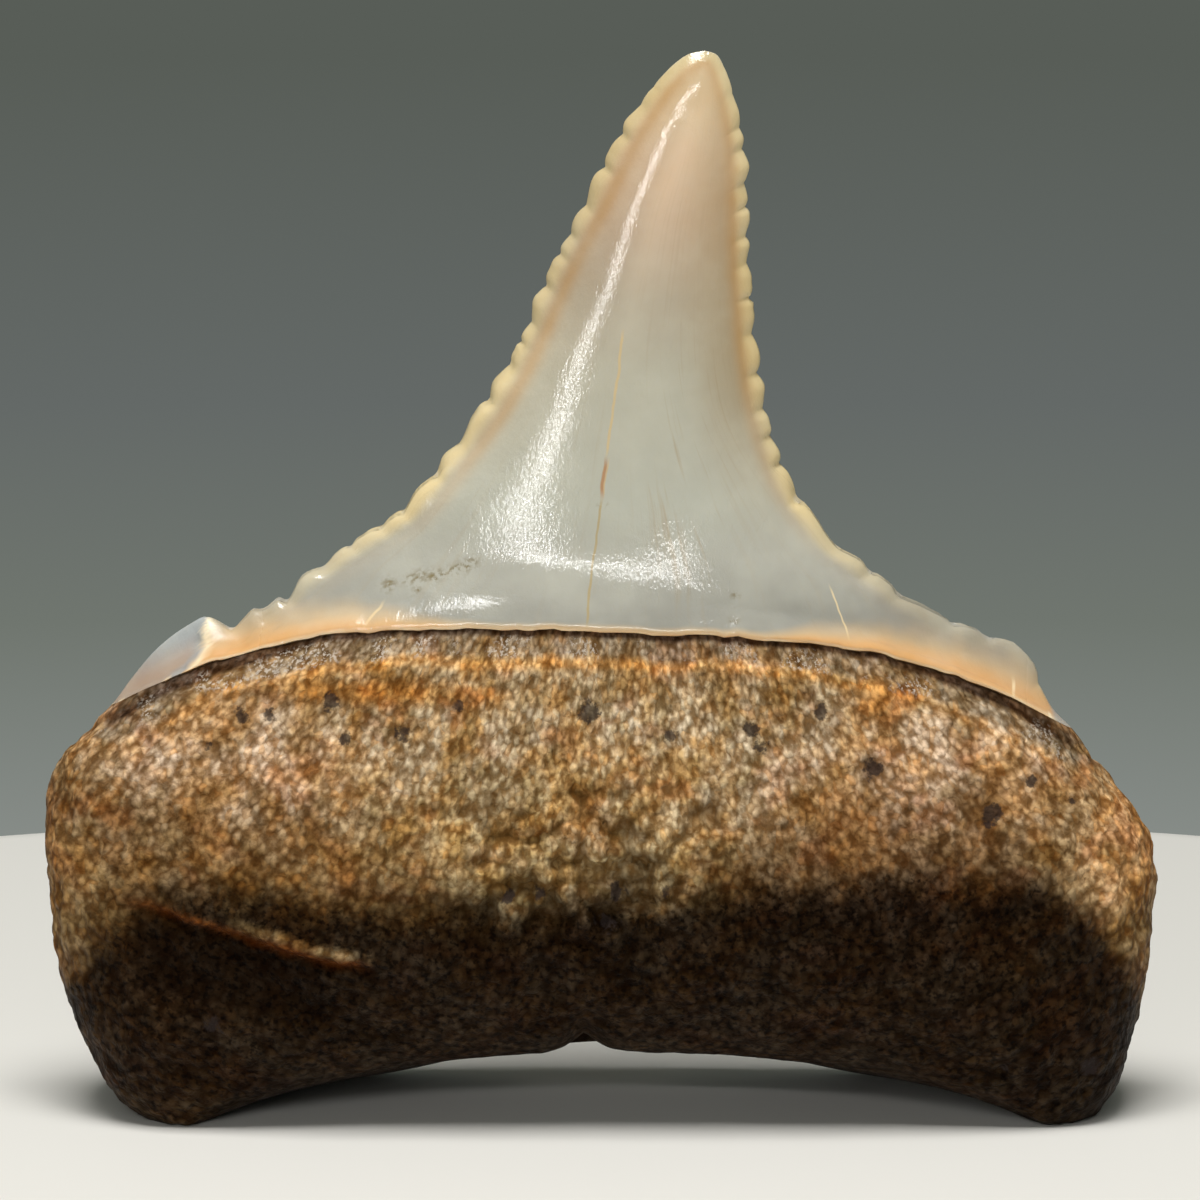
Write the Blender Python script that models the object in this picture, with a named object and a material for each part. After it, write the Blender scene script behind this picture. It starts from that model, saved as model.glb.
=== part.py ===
"""Fossil tooth of a great white shark, standing on the two lobes of its root.

The tooth grew in one piece, so it is one solid: a flat blade with a scalloped cutting edge on
each side, and a thick root with a low arch under it. It is lofted: closed rings run round the
tooth, one above the other, and each ring is found from four lines that run up the tooth, its
left side, its right side, the middle of its bulging face and the middle of its flat face.

Lengths are in millimetres until the mesh is made in metres. X runs across the tooth, the
bulging face looks along -Y, and Z is up from the surface that the lobes stand on.
"""

import bmesh
import bpy
import numpy as np

MM = 0.001

# Driving sizes
WIDTH = 30.25
HEIGHT = 29.02
LEFT_LOBE = -12.6
RIGHT_LOBE = 13.5
ARCH_FRONT = 2.5
ARCH_BACK = 1.85
BULGE = -4.35
FLAT_FACE = 3.25
TIP = (2.75, HEIGHT)
LEFT_NECK = (-12.8, 11.7)
RIGHT_NECK = (12.45, 10.7)
FRONT_NECK = (-2.65, 13.5)
BACK_NECK = (2.2, 11.3)
LEFT_END = -WIDTH / 2
RIGHT_END = WIDTH / 2

# Each line has three stretches: the underside, the root's wall and the crown. A point is
# (x, z) on the two sides and (y, z) on the two faces.
LEFT_SIDE = (
    [(-10.8, -0.05), (-11.7, -0.05)],
    [
        (LEFT_LOBE, 0.0), (-13.25, 0.45), (-13.85, 1.4), (-14.4, 2.6), (-14.85, 3.9),
        (-15.05, 5.4), (LEFT_END, 7.3), (-15.05, 8.9), (-14.75, 9.65), (-13.9, 10.65),
    ],
    [
        LEFT_NECK, (-12.0, 12.6), (-11.1, 13.2), (-10.0, 13.6), (-8.9, 14.1), (-7.8, 14.8),
        (-6.6, 15.65), (-5.3, 16.55), (-4.05, 18.1), (-2.85, 19.85), (-1.9, 21.7),
        (-1.2, 23.35), (-0.3, 25.1), (0.6, 26.85), (1.42, 28.1), (2.05, 28.72), TIP,
    ],
)  # fmt: skip
RIGHT_SIDE = (
    [(11.9, -0.05), (12.75, -0.05)],
    [
        (RIGHT_LOBE, 0.0), (14.0, 0.6), (14.38, 1.6), (14.65, 2.8), (14.85, 4.2),
        (15.02, 5.5), (RIGHT_END, 6.6), (15.05, 7.5), (14.5, 8.45), (13.65, 9.3),
    ],
    [
        RIGHT_NECK, (12.0, 11.35), (11.6, 12.1), (10.9, 12.75), (9.85, 13.2), (8.25, 14.05),
        (7.05, 14.95), (5.65, 16.25), (4.9, 17.5), (4.4, 19), (4.05, 21.1),
        (3.87, 23.4), (3.8, 25.5), (3.66, 27), (3.42, 28.1), (3.15, 28.7), TIP,
    ],
)  # fmt: skip
FRONT_FACE = (
    [(0.2, 2.0), (-1.6, 2.1), (-2.75, 2.2)],
    [
        (-3.2, ARCH_FRONT), (-3.6, 3.2), (-4.15, 4.6), (BULGE, 6.3), (-4.2, 8.2),
        (-3.75, 10.2), (-3.1, 11.9), (-2.8, 12.8),
    ],
    [
        FRONT_NECK, (-2.55, 13.9), (-2.25, 14.8), (-1.98, 16.0), (-1.72, 18.0), (-1.45, 20.5),
        (-1.18, 23.0), (-0.9, 25.5), (-0.6, 27.5), (-0.32, 28.5), (0.0, HEIGHT),
    ],
)  # fmt: skip
BACK_FACE = (
    [(0.2, 2.0), (1.7, 1.75), (2.75, 1.7)],
    [(3.1, ARCH_BACK), (FLAT_FACE, 2.8), (3.2, 4.5), (3.0, 6.5), (2.7, 8.5), (2.35, 10.3)],
    [
        BACK_NECK, (2.2, 12.3), (2.1, 14.0), (1.9, 16.5), (1.6, 19.0), (1.3, 21.5),
        (1.0, 24.0), (0.7, 26.2), (0.42, 27.7), (0.2, 28.55), (0.0, HEIGHT),
    ],
)  # fmt: skip
UNDERSIDE, RIM, NECK, END = 0, 1, 2, 3

# Heights of the notches between the scallops of each cutting edge, from the bottom up
LEFT_NOTCHES = (
    13.75, 14.3, 14.97, 15.52, 16.07, 16.5, 17.53, 18.35, 19.56, 20.54, 21.14,
    21.7, 22.67, 23.54, 24.08, 24.84, 25.87, 26.78, 27.57, 28.05, 28.45,
)  # fmt: skip
RIGHT_NOTCHES = (
    11.76, 13.03, 13.39, 14.25, 14.83, 15.52, 16.84, 17.8, 18.57, 19.31, 20.29,
    21.36, 22.39, 23.29, 24, 24.81, 25.46, 26.38, 26.95, 27.86, 28.56,
)  # fmt: skip
SCALLOPS = len(LEFT_NOTCHES) - 1
SCALLOP_RISE = 0.19  # height of a scallop as a share of its length
LONG_SCALLOP = 1.1  # a longer scallop stands out no further
RIM_WIDTH = 0.45  # how far in from the edge a scallop reaches

# How finely each stretch is divided
UNDERSIDE_ROWS = 5
WALL_ROWS = 24
SHOULDER_ROWS = 9
ROWS_PER_SCALLOP = 4
TIP_ROWS = 3
ROOT_POINTS = 84
CROWN_POINTS = 24

# Shape of a ring
SQUARENESS = ((UNDERSIDE, 4.5), (RIM, 4.5), (1.5, 3.2), (NECK, 2.1))
END_SHARE = 0.13  # share of a ring's points on each end of the root
END_TAPER = 0.15  # how much thinner the root is at its ends
ENAMEL_LIP = 0.13  # how far the enamel stands out over the root at the neck

# Arch under the root, its half width as a share of the root's
FRONT_ARCH_HALF = 0.9
BACK_ARCH_HALF = 0.62
ARCH_POWER = 3.2

# Root relief
GRAIN_SIZE = 1.5
GRAIN_HEIGHT = 0.09
KNOB_PLACE = (-0.6, 7.3)
KNOB_REACH = (3.6, 2.3)
KNOB_SIZE = 1.05
KNOB_HEIGHT = 0.22
LEDGE_LEFT = (-12.3, 6.3)
LEDGE_RIGHT = (-6.6, 4.85)
LEDGE_DROP = 0.3
PITS = ((0.45, 7.0), (0.05, 6.15), (10.85, 1.75), (-7.0, 12.0), (7.3, 10.1), (10.4, 8.8))
PIT_DEPTH = 0.3
PIT_RADIUS = 0.55
RIM_NOTCH = (-0.55, 0.8, 0.45)  # place along X, half width and depth

# Chips broken out of the left shoulder's edge: place, reach and how far the edge drops
CHIPS = (
    ((-9.9, 13.65), 0.55, 0.4), ((-9.1, 14.0), 0.4, 0.35), ((-8.45, 14.4), 0.35, 0.3),
    ((-10.8, 13.35), 0.25, -0.12), ((4.05, 22.4), 0.15, 0.1),
)  # fmt: skip


def smooth_line(stretches, at):
    """Points of a smooth line through all the given points, at places that count stretches."""
    points = np.array([p for stretch in stretches for p in stretch], float)
    first = np.cumsum([0] + [len(stretch) for stretch in stretches])
    first[-1] -= 1
    along = np.concatenate([[0], np.cumsum(np.linalg.norm(np.diff(points, axis=0), axis=1))])
    place = np.interp(at, np.arange(len(first)), along[first])
    slope = np.gradient(points, along, axis=0)
    i = np.clip(np.searchsorted(along, place, side="right") - 1, 0, len(along) - 2)
    step = (along[i + 1] - along[i])[..., None]
    f = (place - along[i])[..., None] / step
    return (
        points[i] * (2 * f**3 - 3 * f**2 + 1)
        + slope[i] * step * (f**3 - 2 * f**2 + f)
        + points[i + 1] * (3 * f**2 - 2 * f**3)
        + slope[i + 1] * step * (f**3 - f**2)
    )


def ease(value, low, high):
    """0 below low, 1 above high and a smooth step between them."""
    f = np.clip((value - low) / (high - low), 0, 1)
    return f * f * (3 - 2 * f)


def at_heights(side, heights):
    """Where a side's crown reaches each height, counted in stretches."""
    at = np.linspace(NECK, END, 2001)
    return np.interp(heights, smooth_line(side, at)[:, 1], at)


def crown_rows(side, notches):
    """The places of the crown's rows on one side, with rows in step with the scallops."""
    marks = at_heights(side, notches)
    shoulder = np.linspace(NECK, marks[0], SHOULDER_ROWS + 1)[:-1]
    count = SCALLOPS * ROWS_PER_SCALLOP
    edge = np.interp(np.arange(count) / ROWS_PER_SCALLOP, np.arange(SCALLOPS + 1), marks)
    tip = END - (END - marks[-1]) * np.linspace(1, 0, TIP_ROWS + 1) ** 1.6
    return np.concatenate([shoulder, edge, tip])


def scallop_rise(side, notches):
    """How far each crown row stands out: round scallops with sharp notches between them."""
    marks = smooth_line(side, at_heights(side, notches))
    lengths = np.linalg.norm(np.diff(marks, axis=0), axis=1)
    number = np.arange(SCALLOPS * ROWS_PER_SCALLOP) / ROWS_PER_SCALLOP
    rise = SCALLOP_RISE * np.minimum(lengths, LONG_SCALLOP)[number.astype(int)]
    rise *= np.sin(np.pi * (number % 1)) ** 0.8
    rise *= 1 - 0.8 * ease(number, SCALLOPS - 2.5, SCALLOPS - 1)
    return np.concatenate([np.zeros(SHOULDER_ROWS), rise, np.zeros(TIP_ROWS + 1)])


def root_section(count, square):
    """Rounded boxes, from the left end over the front and back again, in -1 to 1."""
    u = np.arange(count) / count
    half = np.where(u < 0.5, 2 * u, 2 - 2 * u)
    end = np.minimum(half, 1 - half) / END_SHARE
    across = np.clip((half - END_SHARE) / (1 - 2 * END_SHARE), 0, 1) * 2 - 1
    out = np.clip(end, 0, 1)
    size = (np.abs(across) ** square + out**square) ** (1 / square)
    return across / size, out / size, u < 0.5


def crown_section(count):
    """A lens with sharp edges, fuller on the front than on the back, in -1 to 1."""
    u = np.arange(count) / count
    half = np.where(u < 0.5, 2 * u, 2 - 2 * u)
    across = 0.6 * -np.cos(np.pi * half) + 0.4 * (2 * half - 1)
    bulge = (1 - across**2) ** np.where(u < 0.5, 0.9, 0.75)
    return across, bulge, u < 0.5


def lofted(left_at, right_at, count):
    """Rings on the tooth's smooth skin, as an array of rows by points by x, y, z.

    A ring leaves the left side at left_at and reaches the right side at right_at.
    """
    lens = crown_section(count)
    at = left_at[:, None] + (right_at - left_at)[:, None] * (lens[0] + 1) / 2
    box = root_section(count, np.interp(at, *zip(*SQUARENESS, strict=True)))
    blade = ease(at, NECK - 0.15, NECK + 0.2)
    across = (1 - blade) * box[0] + blade * lens[0]
    depth = (1 - blade) * box[1] + blade * lens[1]
    is_front = np.broadcast_to(lens[2], at.shape)

    left, right = smooth_line(LEFT_SIDE, at), smooth_line(RIGHT_SIDE, at)
    front, back = smooth_line(FRONT_FACE, at), smooth_line(BACK_FACE, at)
    ends = left + (right - left) * (across[..., None] + 1) / 2
    taper = 1 - END_TAPER * across**2 * ease(at, RIM, 1.4)
    y = depth * taper * np.where(is_front, front[..., 0], back[..., 0])

    level = (left[..., 1] + right[..., 1]) / 2
    low = 1 - ease(at, RIM, RIM + 0.75)
    bow = 1 - across**2
    front_arch = 1 - np.minimum(np.abs(across) / FRONT_ARCH_HALF, 1) ** ARCH_POWER
    back_arch = np.cos(np.pi / 2 * np.minimum(np.abs(across) / BACK_ARCH_HALF, 1)) ** 2
    front_z = (front[..., 1] - level) * (low * front_arch + (1 - low) * bow)
    back_z = (back[..., 1] - level) * (low * back_arch + (1 - low) * bow)
    spread = np.clip(at - UNDERSIDE, 0, 1)
    share = 0.5 + 0.5 * spread * np.where(is_front, -1, 1)
    z = ends[..., 1] + front_z + (back_z - front_z) * share
    return np.stack([ends[..., 0], y, z], axis=2)


def add_scallops(crown, left_rise, right_rise):
    """Moves the crown's points near its edges outward along each row."""
    lengths = np.linalg.norm(crown[:, 0] - crown[:, CROWN_POINTS // 2], axis=1)
    for point, rise in ((0, left_rise), (CROWN_POINTS // 2, right_rise)):
        edge = crown[:, point].copy()
        course = np.gradient(edge, axis=0)
        outward = np.stack([-course[:, 2], np.zeros(len(edge)), course[:, 0]], axis=1)
        outward *= 1 if point == 0 else -1
        outward /= np.maximum(np.linalg.norm(outward, axis=1), 1e-9)[:, None]
        away = np.linalg.norm(crown - edge[:, None], axis=2)
        reach = np.minimum(RIM_WIDTH, 0.4 * lengths)[:, None] + 1e-6
        hold = np.clip(1 - away / reach, 0, 1)
        crown += (hold * rise[:, None])[:, :, None] * outward[:, None]
    return crown


def hashed(cell):
    """A number from 0 to 1 that looks random, the same each time for the same cell."""
    mixed = np.sin(cell @ np.array([127.1, 311.7, 74.7])) * 43758.5453
    return mixed - np.floor(mixed)


def lumps(points, size):
    """Smooth bumps and hollows of about the given size, from -1 to 1."""
    place = points / size
    cell = np.floor(place)
    f = place - cell
    f = f * f * (3 - 2 * f)
    total = np.zeros(points.shape[:-1])
    for corner in np.ndindex(2, 2, 2):
        share = np.prod(np.where(np.array(corner) == 1, f, 1 - f), axis=-1)
        total += share * hashed(cell + corner)
    return 2 * total - 1


def outward_normals(rings):
    """Unit normals of a stack of closed rings, pointing out of the tooth."""
    round_ring = np.roll(rings, -1, axis=1) - np.roll(rings, 1, axis=1)
    up = np.gradient(rings, axis=0)
    normal = np.cross(round_ring, up)
    return normal / np.maximum(np.linalg.norm(normal, axis=2), 1e-9)[:, :, None]


def root_relief(rings):
    """How far each of the root's points stands out from its smooth wall."""
    x, y, z = rings[:, :, 0], rings[:, :, 1], rings[:, :, 2]
    relief = GRAIN_HEIGHT * lumps(rings, GRAIN_SIZE)
    is_front = y < -1.2

    reach = ((x - KNOB_PLACE[0]) / KNOB_REACH[0]) ** 2 + ((z - KNOB_PLACE[1]) / KNOB_REACH[1]) ** 2
    knobs = KNOB_HEIGHT * lumps(rings + 31.7, KNOB_SIZE) * np.exp(-(reach**1.5))
    relief += np.where(is_front, knobs, 0)

    slope = (LEDGE_RIGHT[1] - LEDGE_LEFT[1]) / (LEDGE_RIGHT[0] - LEDGE_LEFT[0])
    below = LEDGE_LEFT[1] + slope * (x - LEDGE_LEFT[0]) - z
    held = ease(x, LEDGE_LEFT[0] - 1.5, LEDGE_LEFT[0] + 1) * (
        1 - ease(x, LEDGE_RIGHT[0] - 1, LEDGE_RIGHT[0] + 1.5)
    )
    drop = LEDGE_DROP * ease(below, -0.5, 0.8) * (1 - ease(below, 1.2, 3.4)) * held
    relief -= np.where(is_front, drop, 0)

    for pit_x, pit_z in PITS:
        away = np.hypot(x - pit_x, z - pit_z) / PIT_RADIUS
        relief -= np.where(is_front, PIT_DEPTH * np.exp(-(away**2)), 0)
    return relief


def root_rings():
    """The root, from the middle line of its underside up to the neck."""
    sole = np.linspace(UNDERSIDE, RIM, UNDERSIDE_ROWS + 1)[:-1]
    at = np.concatenate([sole, np.linspace(RIM, NECK, WALL_ROWS + 1)])
    rings = lofted(at, at, ROOT_POINTS)
    normal = outward_normals(rings)
    relief = root_relief(rings)
    relief *= ease(at, RIM - 0.4, RIM + 0.2)[:, None] * (1 - ease(at, NECK - 0.12, NECK))[:, None]
    rings += relief[:, :, None] * normal
    rim_x, rim_half, rim_depth = RIM_NOTCH
    near = np.exp(-(((rings[:, :, 0] - rim_x) / rim_half) ** 2)) * (rings[:, :, 1] < -1)
    rings[:, :, 2] += rim_depth * near * (1 - ease(at, RIM, RIM + 0.15))[:, None]
    rings[:, :, 2] = np.maximum(rings[:, :, 2], 0)
    return rings


def crown_rings():
    """The crown, from the lip of its enamel to its tip."""
    left_at = crown_rows(LEFT_SIDE, LEFT_NOTCHES)
    right_at = crown_rows(RIGHT_SIDE, RIGHT_NOTCHES)
    rings = lofted(left_at, right_at, CROWN_POINTS)
    rises = scallop_rise(LEFT_SIDE, LEFT_NOTCHES), scallop_rise(RIGHT_SIDE, RIGHT_NOTCHES)
    rings = add_scallops(rings, *rises)
    lip = ENAMEL_LIP * (1 - ease((left_at + right_at) / 2, NECK, NECK + 0.12))
    across = crown_section(CROWN_POINTS)[0]
    rings += (lip[:, None] * (1 - across**6))[:, :, None] * outward_normals(rings)
    for (chip_x, chip_z), reach, drop in CHIPS:
        away = np.hypot(rings[:, :, 0] - chip_x, rings[:, :, 2] - chip_z) / reach
        rings[:, :, 2] -= drop * np.exp(-(away**2))
    return rings


def put_over_origin(root, crown):
    """Moves the rings so that the origin is under the middle of their bounding box."""
    points = np.concatenate([root.reshape(-1, 3), crown.reshape(-1, 3)])
    low, high = points.min(axis=0), points.max(axis=0)
    shift = np.array([(low[0] + high[0]) / 2, (low[1] + high[1]) / 2, low[2]])
    return root - shift, crown - shift


def add_ring(mesh, points):
    """A closed loop of vertices and edges, in metres."""
    verts = [mesh.verts.new(point * MM) for point in points]
    edges = [mesh.edges.new((a, b)) for a, b in zip(verts, verts[1:] + verts[:1], strict=True)]
    return verts, edges


def skin(mesh, lower, upper, material):
    """Faces between two rings of the same number of points."""
    for i in range(len(lower)):
        j = (i + 1) % len(lower)
        mesh.faces.new((lower[i], lower[j], upper[j], upper[i])).material_index = material


def build_mesh(root, crown):
    """The closed skin: the root's rings, the neck, the crown's rings and both ends."""
    mesh = bmesh.new()
    lower = [add_ring(mesh, ring) for ring in root]
    upper = [add_ring(mesh, ring) for ring in crown[:-1]]
    for below, above in zip(lower, lower[1:]):
        skin(mesh, below[0], above[0], 0)
    for below, above in zip(upper, upper[1:]):
        skin(mesh, below[0], above[0], 1)
    bridge = bmesh.ops.bridge_loops(mesh, edges=lower[-1][1] + upper[0][1])
    for face in bridge["faces"]:
        face.material_index = 0
    tip = mesh.verts.new(crown[-1, 0] * MM)
    last = upper[-1][0]
    for a, b in zip(last, last[1:] + last[:1], strict=True):
        mesh.faces.new((a, b, tip)).material_index = 1
    bmesh.ops.remove_doubles(mesh, verts=lower[0][0], dist=0.00001)
    bmesh.ops.recalc_face_normals(mesh, faces=mesh.faces)
    return mesh


def make_material(name, color, roughness):
    """A plain material of one colour."""
    material = bpy.data.materials.new(name)
    material.use_nodes = True
    shader = material.node_tree.nodes["Principled BSDF"]
    shader.inputs["Base Color"].default_value = (*color, 1)
    shader.inputs["Roughness"].default_value = roughness
    shader.inputs["Metallic"].default_value = 0
    return material


def main():
    for old in list(bpy.data.objects):
        bpy.data.objects.remove(old, do_unlink=True)
    mesh = build_mesh(*put_over_origin(root_rings(), crown_rings()))
    data = bpy.data.meshes.new("tooth")
    mesh.to_mesh(data)
    mesh.free()
    data.materials.append(make_material("root", (0.19, 0.11, 0.055), 0.8))
    data.materials.append(make_material("enamel", (0.55, 0.5, 0.38), 0.25))
    data.shade_smooth()
    data.set_sharp_from_angle(angle=np.radians(40))
    bpy.context.scene.collection.objects.link(bpy.data.objects.new("tooth", data))


main()
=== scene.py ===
"""Looks of a fossil shark tooth: one closed skin with its enamel, neck and root, on a plain stage.

The tooth's form is a smooth skin between four lines that run up the tooth, its left and right
sides and the middles of its bulging and its flat face. Rings of points run round it. The
cutting edges' scallops, the neck's lip and the root's lumps, ledge and pits are then worked
into the rings, and the rings become one mesh. Lengths are in millimetres until the mesh is
made in metres. X runs across the tooth, the bulging face looks along -Y, and Z is up.
"""

import logging
import math
from dataclasses import dataclass, field
from enum import Enum
from typing import Any

import bpy
import numpy as np
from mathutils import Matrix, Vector
from numpy.typing import NDArray


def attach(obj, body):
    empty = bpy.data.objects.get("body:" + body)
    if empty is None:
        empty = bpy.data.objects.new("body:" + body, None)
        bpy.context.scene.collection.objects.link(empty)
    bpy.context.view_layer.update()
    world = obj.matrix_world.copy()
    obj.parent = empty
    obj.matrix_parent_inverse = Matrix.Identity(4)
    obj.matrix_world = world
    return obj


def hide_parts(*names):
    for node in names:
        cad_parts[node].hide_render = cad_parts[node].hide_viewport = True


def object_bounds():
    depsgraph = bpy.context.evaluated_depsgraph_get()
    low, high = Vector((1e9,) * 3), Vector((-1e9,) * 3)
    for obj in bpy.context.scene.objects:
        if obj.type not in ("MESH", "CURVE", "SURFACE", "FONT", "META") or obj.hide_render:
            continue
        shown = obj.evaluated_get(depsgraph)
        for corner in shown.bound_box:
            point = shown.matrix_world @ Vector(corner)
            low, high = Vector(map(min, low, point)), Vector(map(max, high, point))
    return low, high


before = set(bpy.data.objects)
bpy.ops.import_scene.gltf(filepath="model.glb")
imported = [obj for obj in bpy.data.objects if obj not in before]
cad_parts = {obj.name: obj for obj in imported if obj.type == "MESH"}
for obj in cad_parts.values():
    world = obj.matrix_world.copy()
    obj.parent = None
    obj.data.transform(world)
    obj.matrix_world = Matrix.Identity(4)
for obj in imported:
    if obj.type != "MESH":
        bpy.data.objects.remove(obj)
CAD_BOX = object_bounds()

Array = NDArray[Any]
Pair = tuple[float, float]
MM = 0.001
log = logging.getLogger("tooth")


def linear(hex_code: str) -> tuple[float, float, float]:
    """Turns an sRGB hex colour such as "c8b496" to the linear values that shaders read.

    Args:
        hex_code: Six hexadecimal digits, red, green and blue.

    Returns:
        The three linear values, from 0 to 1.
    """
    parts = [int(hex_code[i : i + 2], 16) / 255 for i in (0, 2, 4)]
    return tuple(p / 12.92 if p <= 0.04045 else ((p + 0.055) / 1.055) ** 2.4 for p in parts)


def rgba(hex_code: str) -> tuple[float, float, float, float]:
    """An sRGB hex colour as linear red, green and blue with full alpha."""
    return (*linear(hex_code), 1.0)


def blend(tint: Array, share: Array, hex_code: str) -> None:
    """Mixes a colour into linear tints in place, by each point's share."""
    tint += (np.array(linear(hex_code)) - tint) * share[:, None]


def ease(value: Array, low: float | Array, high: float | Array) -> Array:
    """A smooth step: 0 below low, 1 above high, and 3f^2 - 2f^3 of the share f between them.

    Args:
        value: The values to ease.
        low: Where the step starts.
        high: Where it ends.

    Returns:
        The eased values, from 0 to 1.
    """
    f = np.clip((value - low) / (high - low), 0, 1)
    return f * f * (3 - 2 * f)


def hashed(cell: Array, salt: float = 0.0) -> Array:
    """A number that looks random and is the same each time for the same cell.

    It is the fraction of a large multiple of a sine of the cell's weighted coordinates.

    Args:
        cell: Whole coordinates, with x, y, z along the last axis.
        salt: A number that gives another set of values.

    Returns:
        Values from 0 to 1.
    """
    mixed = np.sin(cell @ np.array([127.1, 311.7, 74.7]) + salt * 17.3) * 43758.5453
    return mixed - np.floor(mixed)


def lumps(points: Array, size: float, salt: float = 0.0) -> Array:
    """Smooth bumps and hollows: random values on a cubic lattice, eased between its corners.

    Args:
        points: Points with x, y, z along the last axis.
        size: The lattice's spacing in the points' units.
        salt: A number that gives another pattern.

    Returns:
        Heights from -1 to 1.
    """
    place = points / size
    cell = np.floor(place)
    f = place - cell
    f = f * f * f * (f * (6 * f - 15) + 10)
    total = np.zeros(points.shape[:-1])
    for corner in np.ndindex(2, 2, 2):
        share = np.prod(np.where(np.array(corner) == 1, f, 1 - f), axis=-1)
        total += share * hashed(cell + corner, salt)
    return 2 * total - 1


def pebbles(points: Array, size: float, salt: float = 0.0) -> Array:
    """Round grains packed side by side: 1 at a cell's own random point, falling to its border.

    The height is one minus the squared distance to the nearest of the 27 cells' points.

    Args:
        points: Points with x, y, z along the last axis.
        size: The usual width of a grain in the points' units.
        salt: A number that gives another pattern.

    Returns:
        Heights from 0 to 1.
    """
    place = points / size
    cell = np.floor(place)
    nearest = np.full(points.shape[:-1], 9.0)
    for step in np.ndindex(3, 3, 3):
        other = cell + np.array(step) - 1
        jitter = np.stack([hashed(other, salt + i) for i in (1, 2, 3)], axis=-1)
        away = np.sum((other + 0.15 + 0.7 * jitter - place) ** 2, axis=-1)
        nearest = np.minimum(nearest, away)
    return np.clip(1 - nearest, 0, 1)


@dataclass(frozen=True)
class Course:
    """A smooth line up the tooth, in three stretches: underside, wall and crown.

    Attributes:
        underside: Its points under the root, in mm.
        wall: Its points up the root, from the rim of the arch to the neck.
        crown: Its points up the enamel, from the neck to the tip.
    """

    underside: tuple[Pair, ...]
    wall: tuple[Pair, ...]
    crown: tuple[Pair, ...]

    def at(self, place: Array) -> Array:
        """Points on the line, by cubic pieces whose slopes are the neighbours' differences.

        Args:
            place: Where along the line, counted in stretches from 0 to 3.

        Returns:
            The points, with the line's two coordinates along the last axis.
        """
        points = np.array(self.underside + self.wall + self.crown, float)
        first = np.cumsum([0, len(self.underside), len(self.wall), len(self.crown) - 1])
        steps = np.linalg.norm(np.diff(points, axis=0), axis=1)
        along = np.concatenate([[0], np.cumsum(steps)])
        slope = np.gradient(points, along, axis=0)
        where = np.interp(place, np.arange(4), along[first])
        i = np.clip(np.searchsorted(along, where, side="right") - 1, 0, len(along) - 2)
        step = steps[i][..., None]
        f = (where - along[i])[..., None] / step
        return (
            points[i] * (2 * f**3 - 3 * f**2 + 1)
            + slope[i] * step * (f**3 - 2 * f**2 + f)
            + points[i + 1] * (3 * f**2 - 2 * f**3)
            + slope[i + 1] * step * (f**3 - f**2)
        )


UNDERSIDE, RIM, NECK, TIP = 0, 1, 2, 3


class Side(Enum):
    """The two cutting edges, by their rough course up the tooth, in degrees from the X axis."""

    LEFT = 50
    RIGHT = 115


@dataclass
class RingStack:
    """Closed rings of points, one above the other, with the same count in each.

    Attributes:
        points: Rows by points by x, y, z, in mm.
        place: Each point's place up the tooth, counted in stretches.
        across: Each point's place across the tooth, -1 at the left side and 1 at the right.
        front: True on the bulging face.
    """

    points: Array
    place: Array
    across: Array
    front: Array

    def normals(self) -> Array:
        """Unit normals: the step round the ring crossed with the step up the rings."""
        round_ring = np.roll(self.points, -1, axis=1) - np.roll(self.points, 1, axis=1)
        normal = np.cross(round_ring, np.gradient(self.points, axis=0))
        return normal / np.maximum(np.linalg.norm(normal, axis=2), 1e-9)[:, :, None]


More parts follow.
